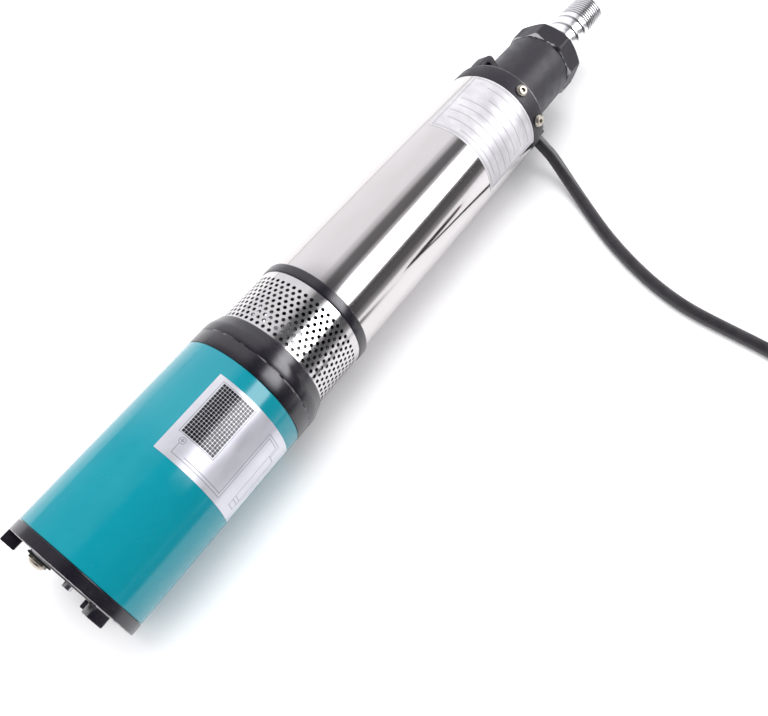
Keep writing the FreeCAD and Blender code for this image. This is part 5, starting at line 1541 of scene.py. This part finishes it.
@dataclass
class Studio:
    """The pale floor and the soft light round it.

    The stops say how bright the room is where metal mirrors it, by the angle over the pump from -Y towards +Z.
    """

    floor_size: float = 6.0
    floor_colours: tuple[Colour, Colour] = ((0.945, 0.94, 0.955), (0.955, 0.95, 0.965))
    floor_roughness: Pair = (0.6, 0.75)
    # Painted dark reflection: the colour of the floor patch that glossy rays see dark, and where it lies across and
    # along.
    dark_reflection_colour: Colour = (0.10, 0.10, 0.11)
    dark_reflection_across: Pair = (0.17, 0.30)
    dark_reflection_along: Pair = (0.0, 0.09)
    near_stops: tuple[Pair, ...] = (
        (0.0, 0.30), (6.0, 0.12), (12.0, 0.06), (84.0, 0.08), (97.0, 0.28), (115.0, 0.42), (180.0, 0.60))
    far_stops: tuple[Pair, ...] = (
        (0.0, 0.60), (5.0, 0.30), (12.0, 0.14), (27.0, 0.12), (31.0, 0.45), (35.0, 7.0), (60.0, 7.0), (67.0, 0.70),
        (74.0, 0.18), (87.0, 0.20), (97.0, 0.80), (105.0, 1.18), (180.0, 1.28))
    near_to_far: Pair = (0.12, 0.26)
    brightest: float = 7.0
    tint: Triple = (1.0, 0.99, 1.02)
    even_colour: Colour = (1.0, 0.995, 1.0)
    even_light: float = 0.92
    panels: tuple[Panel, ...] = (
        Panel("high_panel", (0.2, 0.7, 2.2), 1.7, 36.0), Panel("low_panel", (-1.7, 0.1, 1.7), 1.6, 12.0))

    def floor(self) -> None:
        """Lay the pale floor, with a patch that is painted dark for glossy rays only."""
        shape = bmesh.new()
        bmesh.ops.create_grid(shape, x_segments=1, y_segments=1, size=self.floor_size / 2)
        floor = linked("studio_floor", meshed(shape, "studio_floor"))
        shader = Shader("Studio floor")
        grain = shader.effect("grain", shader.spot, scale=3.0)
        pale = shader.mixed(grain, *self.floor_colours)
        # The floor's colour takes the painted dark reflection where only glossy rays see it.
        shader.put("Base Color", shader.mixed(self.painted_dark_reflection(shader), pale, self.dark_reflection_colour))
        shader.put("Roughness", grain.between(*self.floor_roughness))
        shader.put("Specular IOR Level", 0.1)
        floor.data.materials.append(shader.material)

    def painted_dark_reflection(self, shader: Shader) -> Signal:
        """Find the floor beyond the picture, towards -Y and -X, that glossy rays see painted dark: a painted dark
        reflection in the metal.

        Args:
            shader: the floor's shader.

        Returns:
            The mask.
        """
        along, across, _ = split(shader.spot)
        beyond = (across * -1.0).step(*self.dark_reflection_across) * (1.0 - along.step(*self.dark_reflection_along))
        return beyond * laid(shader.tree, "LightPath", "Is Glossy Ray", {})

    def ramp(self, share: Signal, stops: Sequence[Pair]) -> Signal:
        """Lay out how bright the room is by the angle over the pump.

        Args:
            share: the angle as a share of half a turn.
            stops: angle in degrees and brightness of each stop.

        Returns:
            The ramp's colour.
        """
        ramp = share.tree.nodes.new("ShaderNodeValToRGB")
        feed(share.tree, ramp.inputs["Fac"], share)
        ramp.color_ramp.interpolation = "EASE"
        points = ramp.color_ramp.elements
        for index, (degrees, light) in enumerate(stops):
            point = points[index] if index < 2 else points.new(degrees / 180)
            point.position = degrees / 180
            point.color = (*(light / self.brightest * part for part in self.tint), 1.0)
        return Signal(share.tree, ramp.outputs["Color"])

    def sky(self) -> None:
        """Lay out the light of the room: even on the floor, and in soft panels where metal mirrors it."""
        world = bpy.data.worlds.new("studio_room")
        bpy.context.scene.world = world
        world.use_nodes = True
        tree = world.node_tree
        tree.nodes.clear()
        along, across, up = split(laid(tree, "TexCoord", "Generated", {}))
        angle = up.math("ARCTAN2", across * -1.0)
        share = angle.math("DIVIDE", math.pi, clamp=True)
        near, far = (self.ramp(share, stops) for stops in (self.near_stops, self.far_stops))
        colour = laid(tree, "Mix", 2, {0: along.step(*self.near_to_far), 6: near, 7: far}, data_type="RGBA")
        mirrored = laid(tree, "Background", 0, {"Color": colour, "Strength": self.brightest})
        even = laid(tree, "Background", 0, {"Color": (*self.even_colour, 1.0), "Strength": self.even_light})
        glossy = laid(tree, "LightPath", "Is Glossy Ray", {})
        out = tree.nodes.new("ShaderNodeOutputWorld")
        feed(tree, out.inputs["Surface"], laid(tree, "MixShader", 0, {0: glossy, 1: even, 2: mirrored}))

    def build(self) -> None:
        """Lay the floor, hang the panels and set the room's light."""
        self.floor()
        self.sky()
        for panel in self.panels:
            panel.build()
        bpy.context.scene.view_settings.view_transform = "Standard"
        bpy.context.scene.view_settings.look = "None"


def main() -> None:
    """Build the camera, the cable, the outer pieces, the labels and the studio in order."""
    logging.basicConfig(level=logging.INFO, format="%(name)s %(message)s")
    for part in (Viewpoint(), Cable(), MotorSection(), MotorSticker(), IntakeSection(), PumpBarrel(), BarrelLabel(),
                 DischargeHead()):
        part.build()
    FINISHER.dress_nodes()
    Studio().build()


if __name__ == "__main__":
    main()
